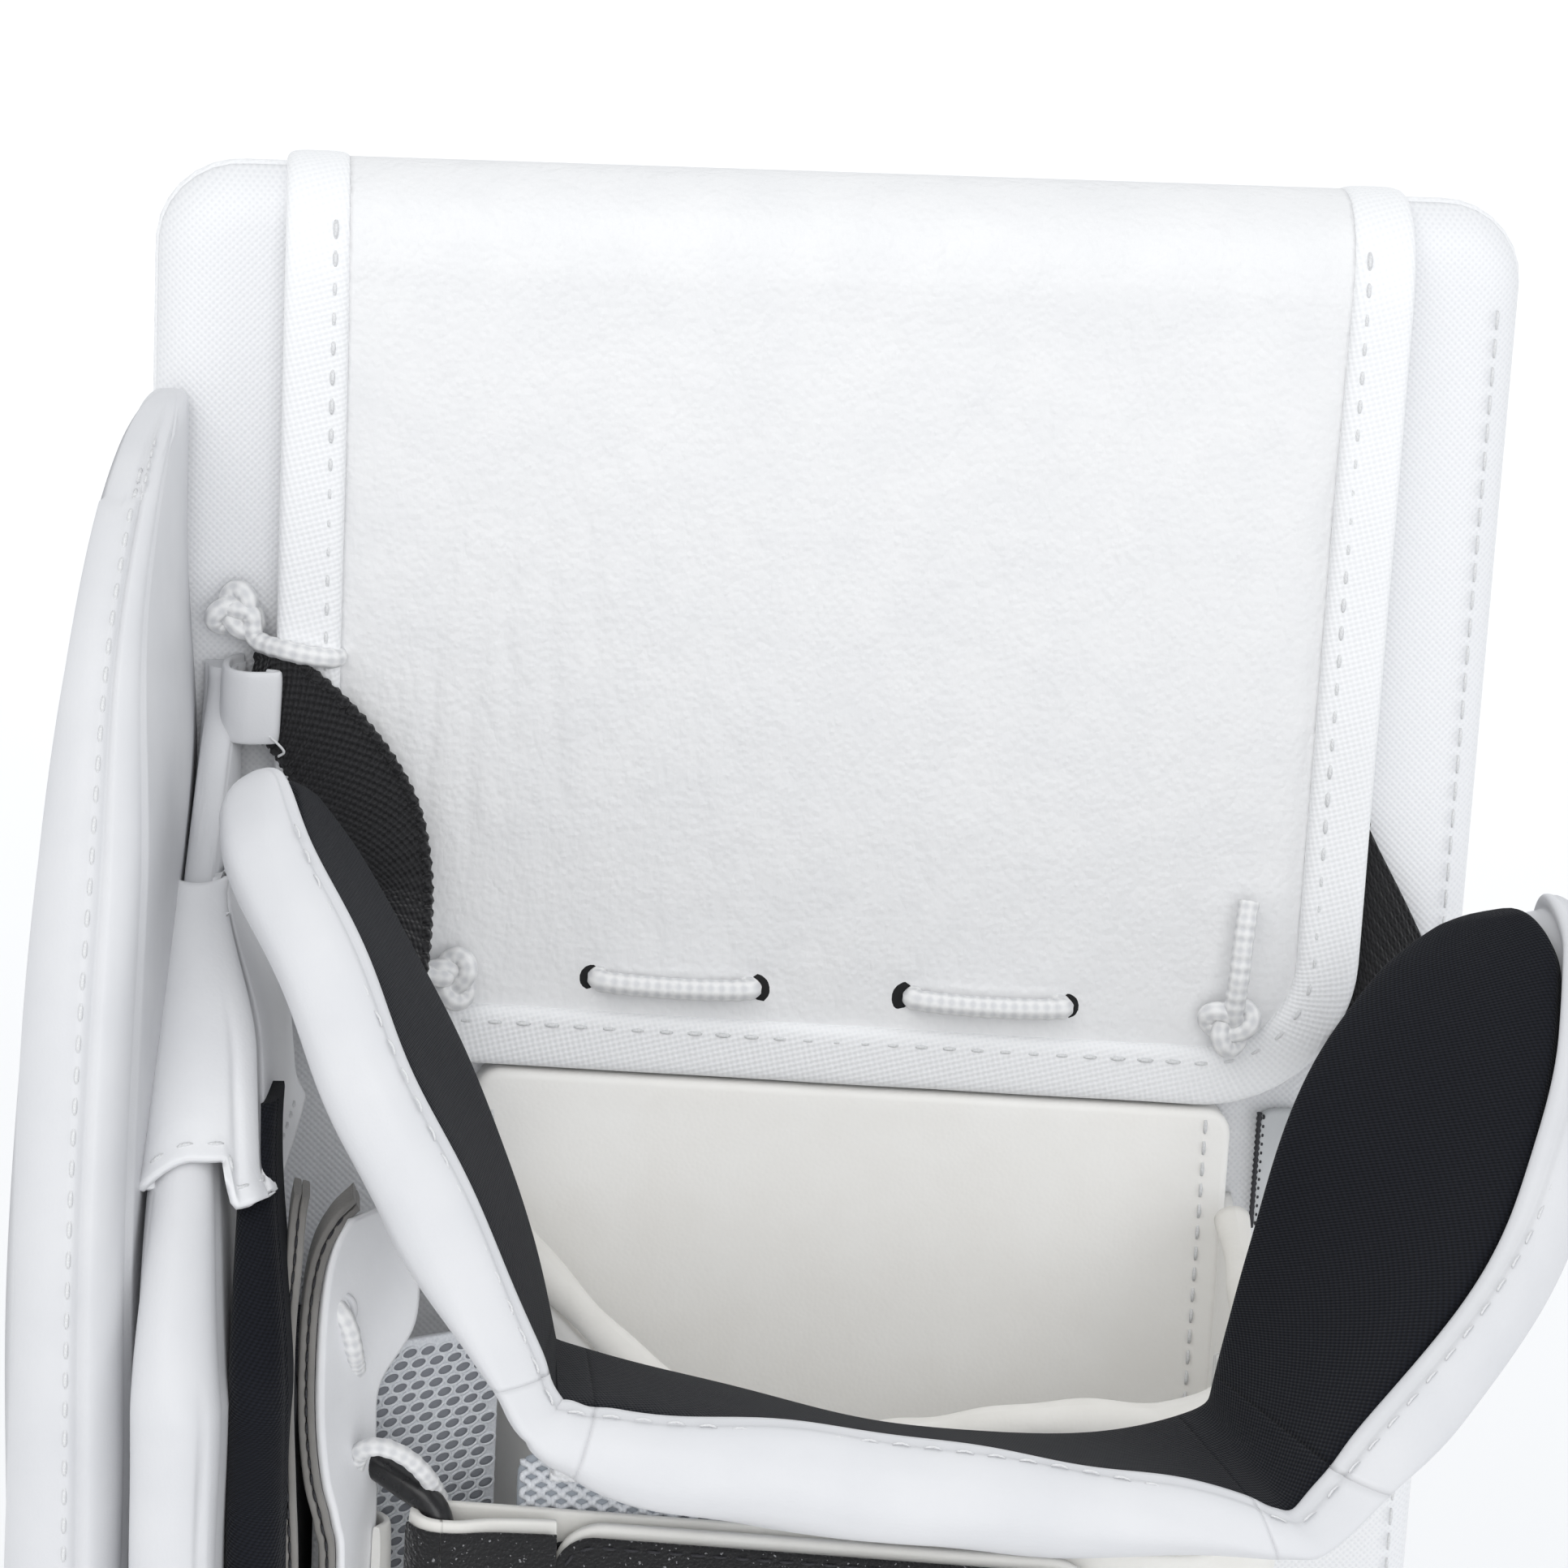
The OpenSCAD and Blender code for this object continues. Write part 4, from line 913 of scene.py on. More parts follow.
def wall_height(z):
    """The sidewall's height: level along the hand, then a quarter ellipse down to its tip."""
    t = np.clip((z - WALL_FULL) / (WALL_HIGH[2] - WALL_FULL), 0, 1)
    return -WALL_LOW[1] * np.sqrt(np.maximum(1 - t**2, 0.0004))


def make_sidewall():
    """The wall along the thumb edge, its crest seam sunk in a groove with its stitches beside it."""
    rise = WALL_HIGH[2] - WALL_FULL
    z = np.concatenate([np.linspace(0, 8, 6), np.linspace(11, WALL_FULL, 70)[:-1],
                        WALL_FULL + rise * np.sin(np.linspace(0, 1.54, 90))])[:, None]
    s = np.linspace(0, 1, 110)[None]
    end = 0.9 + 0.1 * np.sqrt(np.clip(1 - (1 - z / 8) ** 2, 0, 1)) * (z < 8) + 0.1 * (z >= 8)
    inner = EDGE_X + 7 - 2.2 * smooth((z - 290) / 40)
    pinch = 3.2 * (1 - rounding(wall_height(z), 22))
    grid = upright(z, s, inner - pinch, EDGE_X + pinch, wall_height(z) * end, 0.3, (0.1, 0.2125), 1.0)
    middle = np.array([EDGE_X - 6, -30, 0]) + grid * [0, 0, 1]
    out = grid_normals(grid, middle)
    full = smooth((wall_height(z) - 6) / 20)
    groove = 0.8 * bump_at(s, 0.47, 0.009) - 0.35 * bump_at(s, 0.495, 0.012)
    waves = 0.35 * np.sin(z / 13 + 4 * s) * bump_at(s, 0.5, 0.25) + 0.3 * np.sin(z / 29 + 9 * s)
    grid = grid - out * (full * (groove + waves))[..., None]
    grid[..., 2] = np.maximum(grid[..., 2], 0)
    wall = piece("sidewall", [(grid, False, True)], PADDED, "board",
                 ["sidewall_cover", "sidewall_edge_strip"])
    line, normal = grid[8:-16, 54], out[8:-16, 54]
    piece("sidewall_stitches", stitch_grids(line, normal, radius=0.33), THREAD, "board")
    tip = grid[-22:-12, 51] + out[-22:-12, 51] * 0.1
    piece("sidewall_tip_thread", stitch_grids(tip, out[-22:-12, 51], 2.6, 1.7, 0.24), THREAD, "board")
    z = z[1:-30:3]
    core = upright(z, s[:, ::3], inner[1:-30:3] - 2.6, EDGE_X + 2.2, np.maximum(wall_height(z) - 4, 3), 0.6,
                   (0.1, 0.2))
    piece("sidewall_core", [(core, False, True)], FOAM, "board", ["sidewall_foam"])


make_sidewall()
GUARD_X, GUARD_H, GUARD_LOW, GUARD_TOP, GUARD_W = -92.5, 86.0, 66.0, 308.0, 12.5


def guard_height(z):
    """The guard's height: level along the thumb, a little lower at its end, falling to a tip up the board."""
    t = np.clip((z - WALL_FULL) / GUARD_H, 0, 1)
    return GUARD_H * np.maximum(1 - t**1.3, 0.06) * (0.85 + 0.15 * smooth((z - GUARD_LOW) / 26))


def guard_points(z, s, grow=0.0, puff=0.9):
    """The guard's surface at a level and a place round it, moved out by grow."""
    thin = np.where(z <= WALL_FULL, 1, np.maximum(1 - 0.75 * (z - WALL_FULL) / (0.8 * GUARD_H), 0.35))
    end = np.sqrt(1 - (1 - np.clip((z - GUARD_LOW) / 7, 0, 1)) ** 2)
    width = GUARD_W * thin * (0.5 + 0.5 * end)
    outer = GUARD_X + GUARD_W * thin * 0.25 * (1 - end)
    return upright(z, s, outer + width + grow, outer - grow, guard_height(z) * (0.95 + 0.05 * end) + grow,
                   0.3, puff=puff)


def make_guard():
    """The padded shell with its soft crease, the knit pad beside it and the leather strap over its slope."""
    z = np.concatenate([GUARD_LOW + 7 * (1 - np.cos(np.linspace(0.15, np.pi / 2, 8))),
                        np.linspace(75, GUARD_TOP, 150)])[:, None]
    s = np.linspace(0, 1, 90)[None]
    grid = guard_points(z, s)
    out = grid_normals(grid, np.array([GUARD_X + 4, -25, 0]) + grid * [0, 0, 1])
    low = smooth((WALL_FULL + 8 - z) / 20)
    crease = 0.9 * bump_at(s, 0.437 + 0.006 * np.sin(z / 17), 0.008) * low
    sag = 0.4 * np.sin(z / 11 + 6 * s) + 0.35 * np.sin(z / 5.5 - 9 * s) * bump_at(s, 0.5, 0.2)
    grid = grid - out * (crease + 0.6 * sag * smooth((GUARD_TOP - z) / 40))[..., None]
    piece("guard_shell", [(grid, False, True)], PADDED, "board",
                    ["thumb_guard_shell"])
    z = np.linspace(box("thumb_guard_lining")[0][2], 258, 120)[:, None]
    ends = rounding(z - z[0], 5)
    taper = smooth((z - WALL_FULL) / 36)
    height = np.minimum(guard_height(z) - 3.5, 80.5) * (0.97 + 0.03 * ends)
    knit = upright(z, s, -71.7 - 4.5 * taper, -79.7 - 1.0 * taper, height,
                   0.3 + 0.82 * height * smooth((z - 204) / 18), puff=0.4)
    piece("guard_knit", [(knit, False, True)], KNIT, "board", ["thumb_guard_lining"])
    make_guard_strap()


def make_guard_strap():
    """The strap: a band of the guard's own form, lifted off, with wavering edges and a rolled lower end."""
    low_corner, high_corner = box("thumb_guard_strap")
    s = np.linspace(0.13, 0.87, 110)[None]
    v = np.linspace(0, 1, 70)[:, None]
    dip = 5.5 * smooth((s - 0.415) / 0.03) * (1 - smooth((s - 0.5) / 0.17)) + 0.4 * np.sin(11 * s)
    z = low_corner[2] + dip + (high_corner[2] - low_corner[2] - dip + 0.7 * np.sin(9 * s)) * v
    lift = 1.1 + 0.3 * np.sin(4 * v + 5 * s) + 0.6 * bump_at(s, 0.36, 0.06)
    grid = guard_points(z, s, 1.0)
    grid[..., 0] += 4.8 * smooth((high_corner[2] - z) / 20) * (1 - smooth((s - 0.3) / 0.34))
    out = grid_normals(grid, np.array([GUARD_X + 4, -20, 0]) + grid * [0, 0, 1])
    curl = 0.9 * bump_at(v, 0, 0.06) * smooth((0.44 - s) / 0.06)
    curl = curl + 0.4 * bump_at(v, 0.0, 0.05) + 0.3 * bump_at(v, 1.0, 0.05)
    fold = 0.5 * bump_at(s, 0.41 + 0.03 * v, 0.012) * smooth((0.7 - v) / 0.4)
    grid = grid + out * (lift * 0.6 + curl - fold)[..., None]
    # The strap wears the brighter copy of the white leather: painted light against the shade of the wing and
    # wall.
    strap = piece("guard_strap", [(grid[:, ::-1], False, False)], PAINTED_LIGHT_WHITE, "board",
                  ["thumb_guard_strap"])
    thicken(strap, 1.3)
    edge, normal = grid[4, 6:-6], out[4, 6:-6]
    piece("guard_strap_stitches", stitch_grids(edge, normal, radius=0.3), THREAD, "board")


make_guard()


# Cuff

STRIP_W = 48.0
INSET_TIP = 3.2
FOLD_ROWS = 9
FOLD_LEFT, FOLD_RIGHT = np.array([-45.0, -65, 224]), np.array([56.0, -65, 216.5])
RIM_SECTION = ((0, 0.8, 0.6), (0, -0.8, 3.5), (0, 1.4, 7.2), (0.3, 0, 8.6), (0.6, 0, 8.9), (1, -5.8, 8.3),
               (1, -0.7, 5.4), (1, 0, 1.2), (1, -1.0, -2.6), (1, -2.6, -4.3), (1, -3.3, -3.9),
               (1, -4.2, -4.9), (1, -6, -4.8), (1, -7, -2.6), (1, -7.7, 0.4), (0.5, 0, 0.5), (0.2, 0, 0.5))


def cuff_lines():
    """The wrist line of the cuff from the left tip to the right, its width direction and its folds' places.

    Columns ride together on smooth curves through the wings' few stations; the corners are then rounded.
    """
    left = np.array([[-38, 35, 75], [-22, 32, 52], [-6, 18, 21], [0, 0, 0]]) + FOLD_LEFT
    left_flare = unit(np.array([[-10.0, -30, 14], [-14, -45, 15], [-11, -46, 14], [-2, -47, 8]]))
    right = np.array([[0, 0, 0], [5, 14, 18.5], [16, 31.5, 41.5], [37, 47, 60.5]]) + FOLD_RIGHT
    right_flare = unit(np.array([[5.0, -48, 0], [33, -34, 9], [38, -28, 8], [24, -20, 14]]))
    left_wide = left_flare * STRIP_W * np.array([[0.4], [0.85], [1], [1]])
    right_wide = right_flare * STRIP_W * np.array([[1], [1], [0.95], [0.6]])
    one = spline(np.hstack([left, left_wide]), 150)
    three = spline(np.hstack([right, right_wide]), 150)
    t = np.linspace(0, 1, 140)[:, None]
    two = one[-1] * (1 - t) + three[0] * t
    two[:, 2] -= 10.3 * np.sin(np.pi * t[:, 0] ** 1.45) ** 0.7
    two[:, 5] += 13 * np.sin(np.pi * t[:, 0] ** 1.4) ** 0.8
    strip = np.vstack([one[:-1], two, three[1:]])
    folds = len(one) - 1, len(one) + len(two) - 2
    kernel = np.hanning(15)[1:-1]
    kernel /= kernel.sum()
    padded = np.vstack([strip[:1]] * 6 + [strip] + [strip[-1:]] * 6)
    strip = np.stack([np.convolve(padded[:, k], kernel, "valid") for k in range(6)], axis=1)
    return strip[:, :3], strip[:, 3:], folds


def fullness(s, folds):
    """How full the strip's outer face is: pinched at the folds, fullest left of the base's middle."""
    a, b = s[folds[0]], s[folds[1]]
    t = np.clip((s - a) / (b - a), 0, 1)
    base = 0.34 + 0.86 * np.sin(np.pi * t**0.72) ** 0.9
    wing = np.where(s < a, 0.34 + 0.66 * smooth((a - s) / 26), 0.34 + 0.6 * smooth((s - b) / 12))
    return np.where((s > a) & (s < b), base, wing)[:, None]


def cuff_rings():
    """Rings of the white shell and the knit lining along the cuff, round at both tips.

    The shell is one closed section: its outer face, a full roll at the rim, a groove for the seam and a step
    under the lining. Section points are a share of the strip's width plus millimetres.
    """
    path, wide, folds = cuff_lines()
    along = tangents(path)
    out = unit(np.cross(along, wide))
    width = np.linalg.norm(wide, axis=1)[:, None]
    wide = unit(wide)
    s = np.concatenate([[0], np.cumsum(np.linalg.norm(np.diff(path, axis=0), axis=1))])
    near = np.minimum(s, s[-1] - s)[:, None]
    base = np.array(RIM_SECTION)
    loop = spline(np.vstack([base, base[:1]]), 73)[:-1]
    across = loop[None, :, 0] * width + loop[None, :, 1]
    off = np.broadcast_to(loop[None, :, 2], across.shape)
    tip = rounding(near, 13)
    middle = 0.5 * width
    across = middle + (across - middle) * tip
    off = 2 + (off - 2) * (0.45 * rounding(near, 4) + 0.55 * tip)
    ripple = sum(0.35 * bump_at(s[:, None], s[f] + d, 2.0) for f in folds for d in (-4.5, 0.5, 5.5))
    sway = 0.5 * np.sin(s[:, None] / 8.5 + across / 9) + 0.35 * np.sin(s[:, None] / 4.6 - across / 7)
    off = off - (np.sign(off - 1.5) * ripple * 1.4 + sway * 0.8) * smooth((np.abs(off - 0.5) - 0.6) / 3)
    off = np.where(off > 0, off * fullness(s, folds), off)
    shell = path[:, None] + across[..., None] * wide[:, None] + off[..., None] * out[:, None]
    half = (width - 8.4) / 2
    tip_in = rounding(near - INSET_TIP, 13)
    ring = super_section(48, 0.34)
    across = 0.9 + half + ring[None, :, 0] * half * tip_in
    puff = 1 + 0.12 * np.sin(s[:, None] / 6.1 + across / 11)
    off = -2.4 + ring[None, :, 1] * 1.9 * np.minimum(tip_in * 1.5, 1) * puff
    lining = path[:, None] + across[..., None] * wide[:, None] + off[..., None] * out[:, None]
    seam_across = np.maximum(width - 2.0 * tip - 0.1, 0.6 * width)
    seam = path + seam_across * wide - 4.15 * out
    return shell, lining, seam, out, folds, s, near[:, 0]


def make_cuff():
    """The cuff in five runs that share their end rings: two wings, the base and two soft folds between."""
    shell, lining, seam, out, (a, b), s, near = cuff_rings()
    k = FOLD_ROWS
    runs = (("left", slice(0, a - k + 1), "cuff_left"), ("left_fold", slice(a - k, a + k + 1), None),
            ("base", slice(a + k, b - k + 1), "cuff"), ("right_fold", slice(b - k, b + k + 1), None),
            ("right", slice(b + k, len(s)), "cuff_right"))
    for name, rows, body in runs:
        hides = [f"cuff_{name}_shell"] if body else []
        skin = piece(f"cuff_{name}_skin", [(shell[rows], False, True)], PADDED, body, hides)
        hides = [f"cuff_{name}_lining"] if body else []
        inner = lining[rows][near[rows] > INSET_TIP]
        knit = piece(f"cuff_{name}_knit", [(inner, False, True)], KNIT, body, hides)
        sewn = near[rows] > 12
        patches = stitch_grids(seam[rows][sewn], -out[rows][sewn], length=2.4, radius=0.2, sink=0.05)
        thread = piece(f"cuff_{name}_stitches", patches, THREAD, body)
        if not body:
            for obj in (skin, knit, thread):
                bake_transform(obj)


make_cuff()


# Elastics, tab and side lace


LONG_RUN = 0.68


def ribbon(name, one, two, wing, hides):
    """A woven elastic between two edge curves: slightly arched across, ribbed along, with whipped edges.

    Its long run reaches from the board to the cuff, and its end from the cuff to the wing it is sewn to.
    """
    rows, cols = 150, 22
    a, b = spline(one, rows), spline(two, rows)
    t = np.linspace(0, 1, cols)[None, :, None]
    grid = a[:, None] * (1 - t) + b[:, None] * t
    n = unit(np.cross(np.gradient(grid, axis=0), np.gradient(grid, axis=1)))
    n = n * np.sign(-n[..., 1:2] + 1e-6)
    s = np.concatenate([[0], np.cumsum(np.linalg.norm(np.diff(grid.mean(axis=1), axis=0), axis=1))])[:, None]
    grid = grid + n * (0.9 * np.sin(np.pi * t[..., 0]) + 0.16 * np.sin(2 * np.pi * s / 2.1))[..., None]
    beads = 0.85 * (1 + 0.22 * np.sin(2 * np.pi * s[:, 0] / 1.5))
    cut = int(LONG_RUN * rows)
    for part, run, bodies, hidden in (("", slice(0, cut + 1), ("board", "cuff"), hides),
                                      ("_end", slice(cut, rows), ("cuff", wing), [])):
        cloth, normal = grid[run], n[run]
        tape = piece(name + part, [(cloth, False, False)], ELASTIC, None, hidden)
        thicken(tape, 1.5)
        whip = [(tube_grid(cloth[:, i] - normal[:, i] * 0.5, beads[run], 10), False, True) for i in (0, -1)]
        edges = piece(f"{name}{part}_edges", whip, ELASTIC, None)
        for obj in (tape, edges):
            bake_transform(obj)


def make_elastics():
    """Both elastics, each from the board to a wing of the cuff, and the white tab with its loose thread."""
    one = [(-86, -2.4, 309), (-84, -6.2, 310.8), (-81.6, -8.4, 311), (-75.8, -9.6, 306.9),
           (-69.8, -11, 301.2), (-64.6, -12, 294.2), (-61.4, -13, 287), (-60.1, -17, 277.6),
           (-60.9, -27, 267.2), (-64, -36, 260.9)]
    two = [(-87, -2.4, 296.8), (-85.6, -6.2, 297.6), (-83.9, -8.4, 297.9), (-80, -9.6, 292.4),
           (-75.6, -12, 286.4), (-71.7, -14, 281.2), (-68.6, -16, 277.1), (-68.9, -24, 273.8),
           (-70.2, -31.6, 272.9)]
    ribbon("left_elastic", one, two, "cuff_left", ["elastic_left"])
    one = [(95.7, -2.2, 263.9), (93, -5, 257), (89.5, -11, 252), (84.5, -20, 249.6), (80, -26.5, 251.8),
           (76.9, -29.4, 255)]
    two = [(83, -2, 287), (82.7, -2.6, 273), (82, -5.2, 259.5), (77.5, -11, 249.5), (72.5, -20, 244.5),
           (70.2, -29, 243), (69.6, -37.6, 245)]
    ribbon("right_elastic", one, two, "cuff_right", ["elastic_right"])
    line = spline([(-88.2, -0.6), (-90.2, -3.5), (-90.2, -8.5), (-87.5, -10.8), (-83.6, -10.6),
                   (-82.9, -9.8), (-84.5, -9.2)], 70)
    path = np.insert(line, 2, 303.6, axis=1)
    side = unit(np.cross(tangents(path), [0, 0, 1.0]))
    ring = super_section(28, 0.4) * [0.7, 5.5]
    tab = sweep(path, side, np.broadcast_to([0.03, 0.0, 1.0], path.shape), ring)
    piece("elastic_end_tab", [(tab, False, True)], PADDED, "board", ["elastic_tab"])
    loose = spline([(-84, -11, 299.5), (-82.6, -12, 298.6), (-81.6, -11.6, 297.2), (-82.4, -10.6, 296.2)], 40)
    piece("tab_thread", [(tube_grid(loose, 0.2, 6), False, True)], THREAD, "board")


def make_side_lace():
    """The short lace beside the flap: a pulled knot on the board and its tail under the binding."""
    low, high = box("side_lace_knot")
    place = (low + high) / 2
    knot = knot_path((place[0], -3.0, place[2]), 3.5, 0.9)
    piece("side_knot", [(tube_grid(knot, 1.45, 14, (0, 1, 0), True), True, True)], CORD, "board",
          ["side_lace_knot"])
    tail = spline([place + [-2, -1.8, 1], place + [2, -2.4, 0.2], (-86, -4.6, 312.4),
                   (-81, FLAP_FACE - 0.9, 311.6), (-76.5, FLAP_FACE - 1.0, 310.8),
                   (-74.4, FLAP_FACE + 0.5, 310.4), (-73.8, FLAP_FACE + 3, 310.2)], 90)
    piece("side_cord", [(braid_grid(tail, 1.5), False, True)], CORD, "board", ["side_lace"])


make_elastics()
make_side_lace()


# Hand

def plate(low, high, face, back, radius, edge, crown, turn=None):
    """A soft flat piece: a rounded outline, its edge rolled, its face crowned, closed at the back.

    The outline lies in X and Z with depth along Y; turn, (origin, along, out, up), lays it in another plane.
    """
    r = min(radius, (high[0] - low[0]) / 2.02, (high[1] - low[1]) / 2.02)
    edge = min(edge, abs(face - back) * 0.9, r * 0.95)
    count = int(np.clip((high[0] - low[0] + high[1] - low[1]) * 1.6, 60, 320))
    rings = closed_pillow(rounded_outline(low, high, (r, r, r, r), count), back, face, edge, crown,
                          min(1.0, r * 0.3))
    if turn is None:
        return rings
    origin, along, out, up = (np.array(v, float) for v in turn)
    return origin + rings[..., :1] * along + rings[..., 1:2] * out + rings[..., 2:] * up


def plate_of(node, radius, edge, crown):
    """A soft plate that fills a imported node's box, its face to the palm."""
    low, high = box(node)
    return plate((low[0], low[2]), (high[0], high[2]), low[1], high[1], radius, edge, crown)


def line_of(points, count=80):
    """A smooth line through points."""
    return spline(np.array(points, float), count)


def facing(line, way):
    """One direction repeated along a line."""
    return np.broadcast_to(np.array(way, float), line.shape)


RIM_SLOPE = 0.42
POUCH_R, POUCH_WALL, PALM_Y = 20.0, 2.5, -50.0
HAND_LEFT, HAND_RIGHT = POUCH_LOW[0], POUCH_HIGH[0]
POUCH_FOOT, POUCH_BACK = POUCH_LOW[2], POUCH_HIGH[2]


def pouch_outline(inset, count):
    """The pouch from above, in X and Y: straight to the board at both sides, round at the palm."""
    r = POUCH_R - inset
    left, right, floor = HAND_LEFT + inset, HAND_RIGHT - inset, PALM_Y + inset
    a = np.linspace(0, np.pi / 2, 14)
    turn = np.stack([left + r - r * np.cos(a), floor + r - r * np.sin(a)], axis=1)
    other = np.stack([right - r + r * np.sin(a), floor + r - r * np.cos(a)], axis=1)
    return evenly(np.vstack([[left, -6.4], turn, other, [right, -0.3 - inset * 0.4]]), count)


PAD_LEFT, PAD_RIGHT = -51.5, 65.2
MOUTH_DRAW, MOUTH_DIP = 17, 4


def drawn_in(points, share):
    """The pouch's mouth drawn towards the middle on the thumb's side: up to MOUTH_DRAW at the palm."""
    x, y = points[..., 0], points[..., 1]
    points[..., 0] += MOUTH_DRAW * share * smooth((-y - 8) / 36) * smooth((20 - x) / 55)
    return points


def rim_dip(line):
    """How far the middle of the pouch's mouth hangs on the palm side: up to MOUTH_DIP."""
    return MOUTH_DIP * bump_at(line[:, 0], 4, 22) * smooth((-line[:, 1] - 30) / 12)


def make_pouch():
    """The hand pouch: an upright tube with a slanting mouth, its wall, rolled rim and the pad behind it."""
    low, high = box("backhand_pad")
    pad = plate((PAD_LEFT, low[2]), (PAD_RIGHT, high[2]), low[1], high[1], 4, 1.4, 0.5)
    pad[..., 2] += np.clip((pad[..., 2] - 190) / 51, 0, 1) * (FLAP_TILT * (TILT_X - pad[..., 0]) - 0.2)
    piece("hand_back_pad", [(pad, False, True)], CREAM, "board", ["backhand_pad"])
    flat = pouch_outline(0, 170)
    top = POUCH_BACK + RIM_SLOPE * flat[:, 1] - rim_dip(flat)
    v = np.linspace(0, 1, 60)[:, None]
    wall = np.stack(np.broadcast_arrays(flat[:, 0], flat[:, 1], POUCH_FOOT + (top - POUCH_FOOT) * v), axis=2)
    swell = np.sin(np.pi * v) * np.clip(-flat[:, 1] / 20, 0, 1) + 0.4 * np.sin(9 * v + flat[:, 0] / 9)
    wall[..., 1] -= 0.6 * swell * smooth((-flat[:, 1] - 20) / 25)
    wall = drawn_in(wall, v**2.5)
    skin = piece("pouch_wall", [(wall, False, False)], CREAM, "board", ["hand_pouch"])
    thicken(skin, POUCH_WALL)
    line = pouch_outline(POUCH_WALL / 2, 160)
    line = line[line[:, 1] < -8.5]
    lift = 3.0 + 0.5 * np.sin(line[:, 0] / 13) - rim_dip(line)
    path = np.insert(line, 2, POUCH_BACK + RIM_SLOPE * line[:, 1] + lift, axis=1)
    path = drawn_in(path, 1)
    radius = 2.7 + 0.25 * np.sin(np.linspace(0, 31, len(path))) + 0.2 * np.sin(np.linspace(2, 77, len(path)))
    piece("pouch_roll", [(tube_grid(path, radius, 20, (0, 0, 1)), False, True)], ROLLED_CREAM, "board",
          ["pouch_rim"])
    patches = []
    for x in (PAD_LEFT + 2.7, PAD_RIGHT - 4.2):
        edge = line_of([(x, low[1] - 0.25, 150), (x, low[1] - 0.45, 195), (x, low[1] - 0.3, high[2] - 1)], 60)
        patches += stitch_grids(edge, facing(edge, (0, -1, 0)), radius=0.3, pitch=3.4, length=2.2)
    piece("pad_stitches", patches, THREAD, "board")
    low, high = box("pouch_elastic")
    strip = plate((low[1], low[2]), (high[1], high[2]), low[0], high[0], 2, 0.5, 0.2,
                  ((0, 0, 0), (0, 1, 0), (1, 0, 0), (0, 0, 1)))
    piece("pouch_strip", [(strip, False, True)], WHITE_ELASTIC, "board", ["pouch_elastic"])
    low, high = box("side_tab")
    tab = plate_of("side_tab", 2.5, 0.7, 0.15)
    piece("side_grip_tab", [(tab, False, True)], GREY, "board", ["side_tab"])
    seam = line_of([((low[0] + high[0]) / 2 + 0.6, low[1] - 0.1, z)
                    for z in (low[2] + 1, low[2] + 10, high[2] - 1)], 40)
    piece("side_tab_stitches", stitch_grids(seam, facing(seam, (0, -1, 0)), 3, 2, 0.28), THREAD, "board")
    edge = line_of([(low[0] + 0.1, low[1] + 0.2, z) for z in (low[2] + 0.5, low[2] + 10, high[2] - 0.5)], 40)
    whip = [(tube_grid(edge, 0.4 * (1 + 0.3 * np.sin(np.linspace(0, 120, 40))), 8), False, True)]
    whip += stitch_grids(edge + [0.7, -0.15, 0], facing(edge, (0, -1, 0)), 1.4, 0.8, 0.22)
    piece("side_tab_overlock", whip, DARK_THREAD, "board")


make_pouch()


def strands(low, high, pitch, radius, wave, turn, depth):
    """Warp-knit mesh: upright strands that swing left and right in turn and meet round oval holes.

    A strand swings 0.4 pitch to each side of its place, and the next one swings the other way. It is a
    tube laid in the plane of turn.
    """
    origin, along, out, up = (np.array(v, float) for v in turn)
    z = np.arange(low[1], high[1], wave / 10)
    grids = []
    for k, x in enumerate(np.arange(low[0] + pitch / 2, high[0], pitch)):
        swing = x + 0.40 * pitch * np.tanh(1.8 * np.sin(2 * np.pi * z / wave + np.pi * k))
        rise = 0.18 * np.cos(4 * np.pi * z / wave)
        path = origin + swing[:, None] * along + (depth + rise)[:, None] * out + z[:, None] * up
        grids.append((tube_grid(path, radius, 7, tuple(out)), False, True))
    return grids


FLAT_ON_PALM = ((0, 0, 0), (1, 0, 0), (0, 1, 0), (0, 0, 1))
MESH_LEFT = -45.5


def make_palm():
    """The palm leather, the shiny heel mesh over a blue-grey sheet of painted shadow and the dark punched
    patch.
    """
    piece("palm_leather", [(plate_of("palm_panel", 6, 0.9, 0.3), False, True)], PALM, "board",
          ["palm_panel"])
    low, high = box("palm_heel_mesh")
    low[0] = MESH_LEFT
    # Painted shadow: a blue-grey sheet just behind the strands, for the shade seen through the mesh's holes.
    base = plate((low[0], low[2]), (high[0], high[2]), low[1] + 0.9, high[1], 3, 0.5, 0.1)
    piece("heel_mesh_shadow_sheet", [(base, False, True)], MESH_SHADOW_SHEET, "board", ["palm_heel_mesh"])
    knit = strands((low[0] + 0.5, low[2] + 0.6), (high[0] - 0.5, high[2] - 0.6), 1.5, 0.5, 2.6, FLAT_ON_PALM,
                   low[1] + 0.6)
    piece("heel_mesh_knit", knit, YARN, "board")
    low, high = box("palm_heel_patch")
    piece("heel_patch", [(plate_of("palm_heel_patch", 3, 0.8, 0.2), False, True)], PUNCHED, "board",
          ["palm_heel_patch"])
    x, z = np.meshgrid(np.arange(low[0] + 3, high[0] - 2, 3.0), np.arange(low[2] + 3, high[2] - 2, 3.0))
    holes = np.stack([x.ravel(), np.full(x.size, low[1] - 0.18), z.ravel()], axis=1)
    piece("heel_patch_holes", hole_discs(holes, [[0, -1, 0]] * len(holes), 0.5, sides=8), HOLE_SHADE,
          "board")


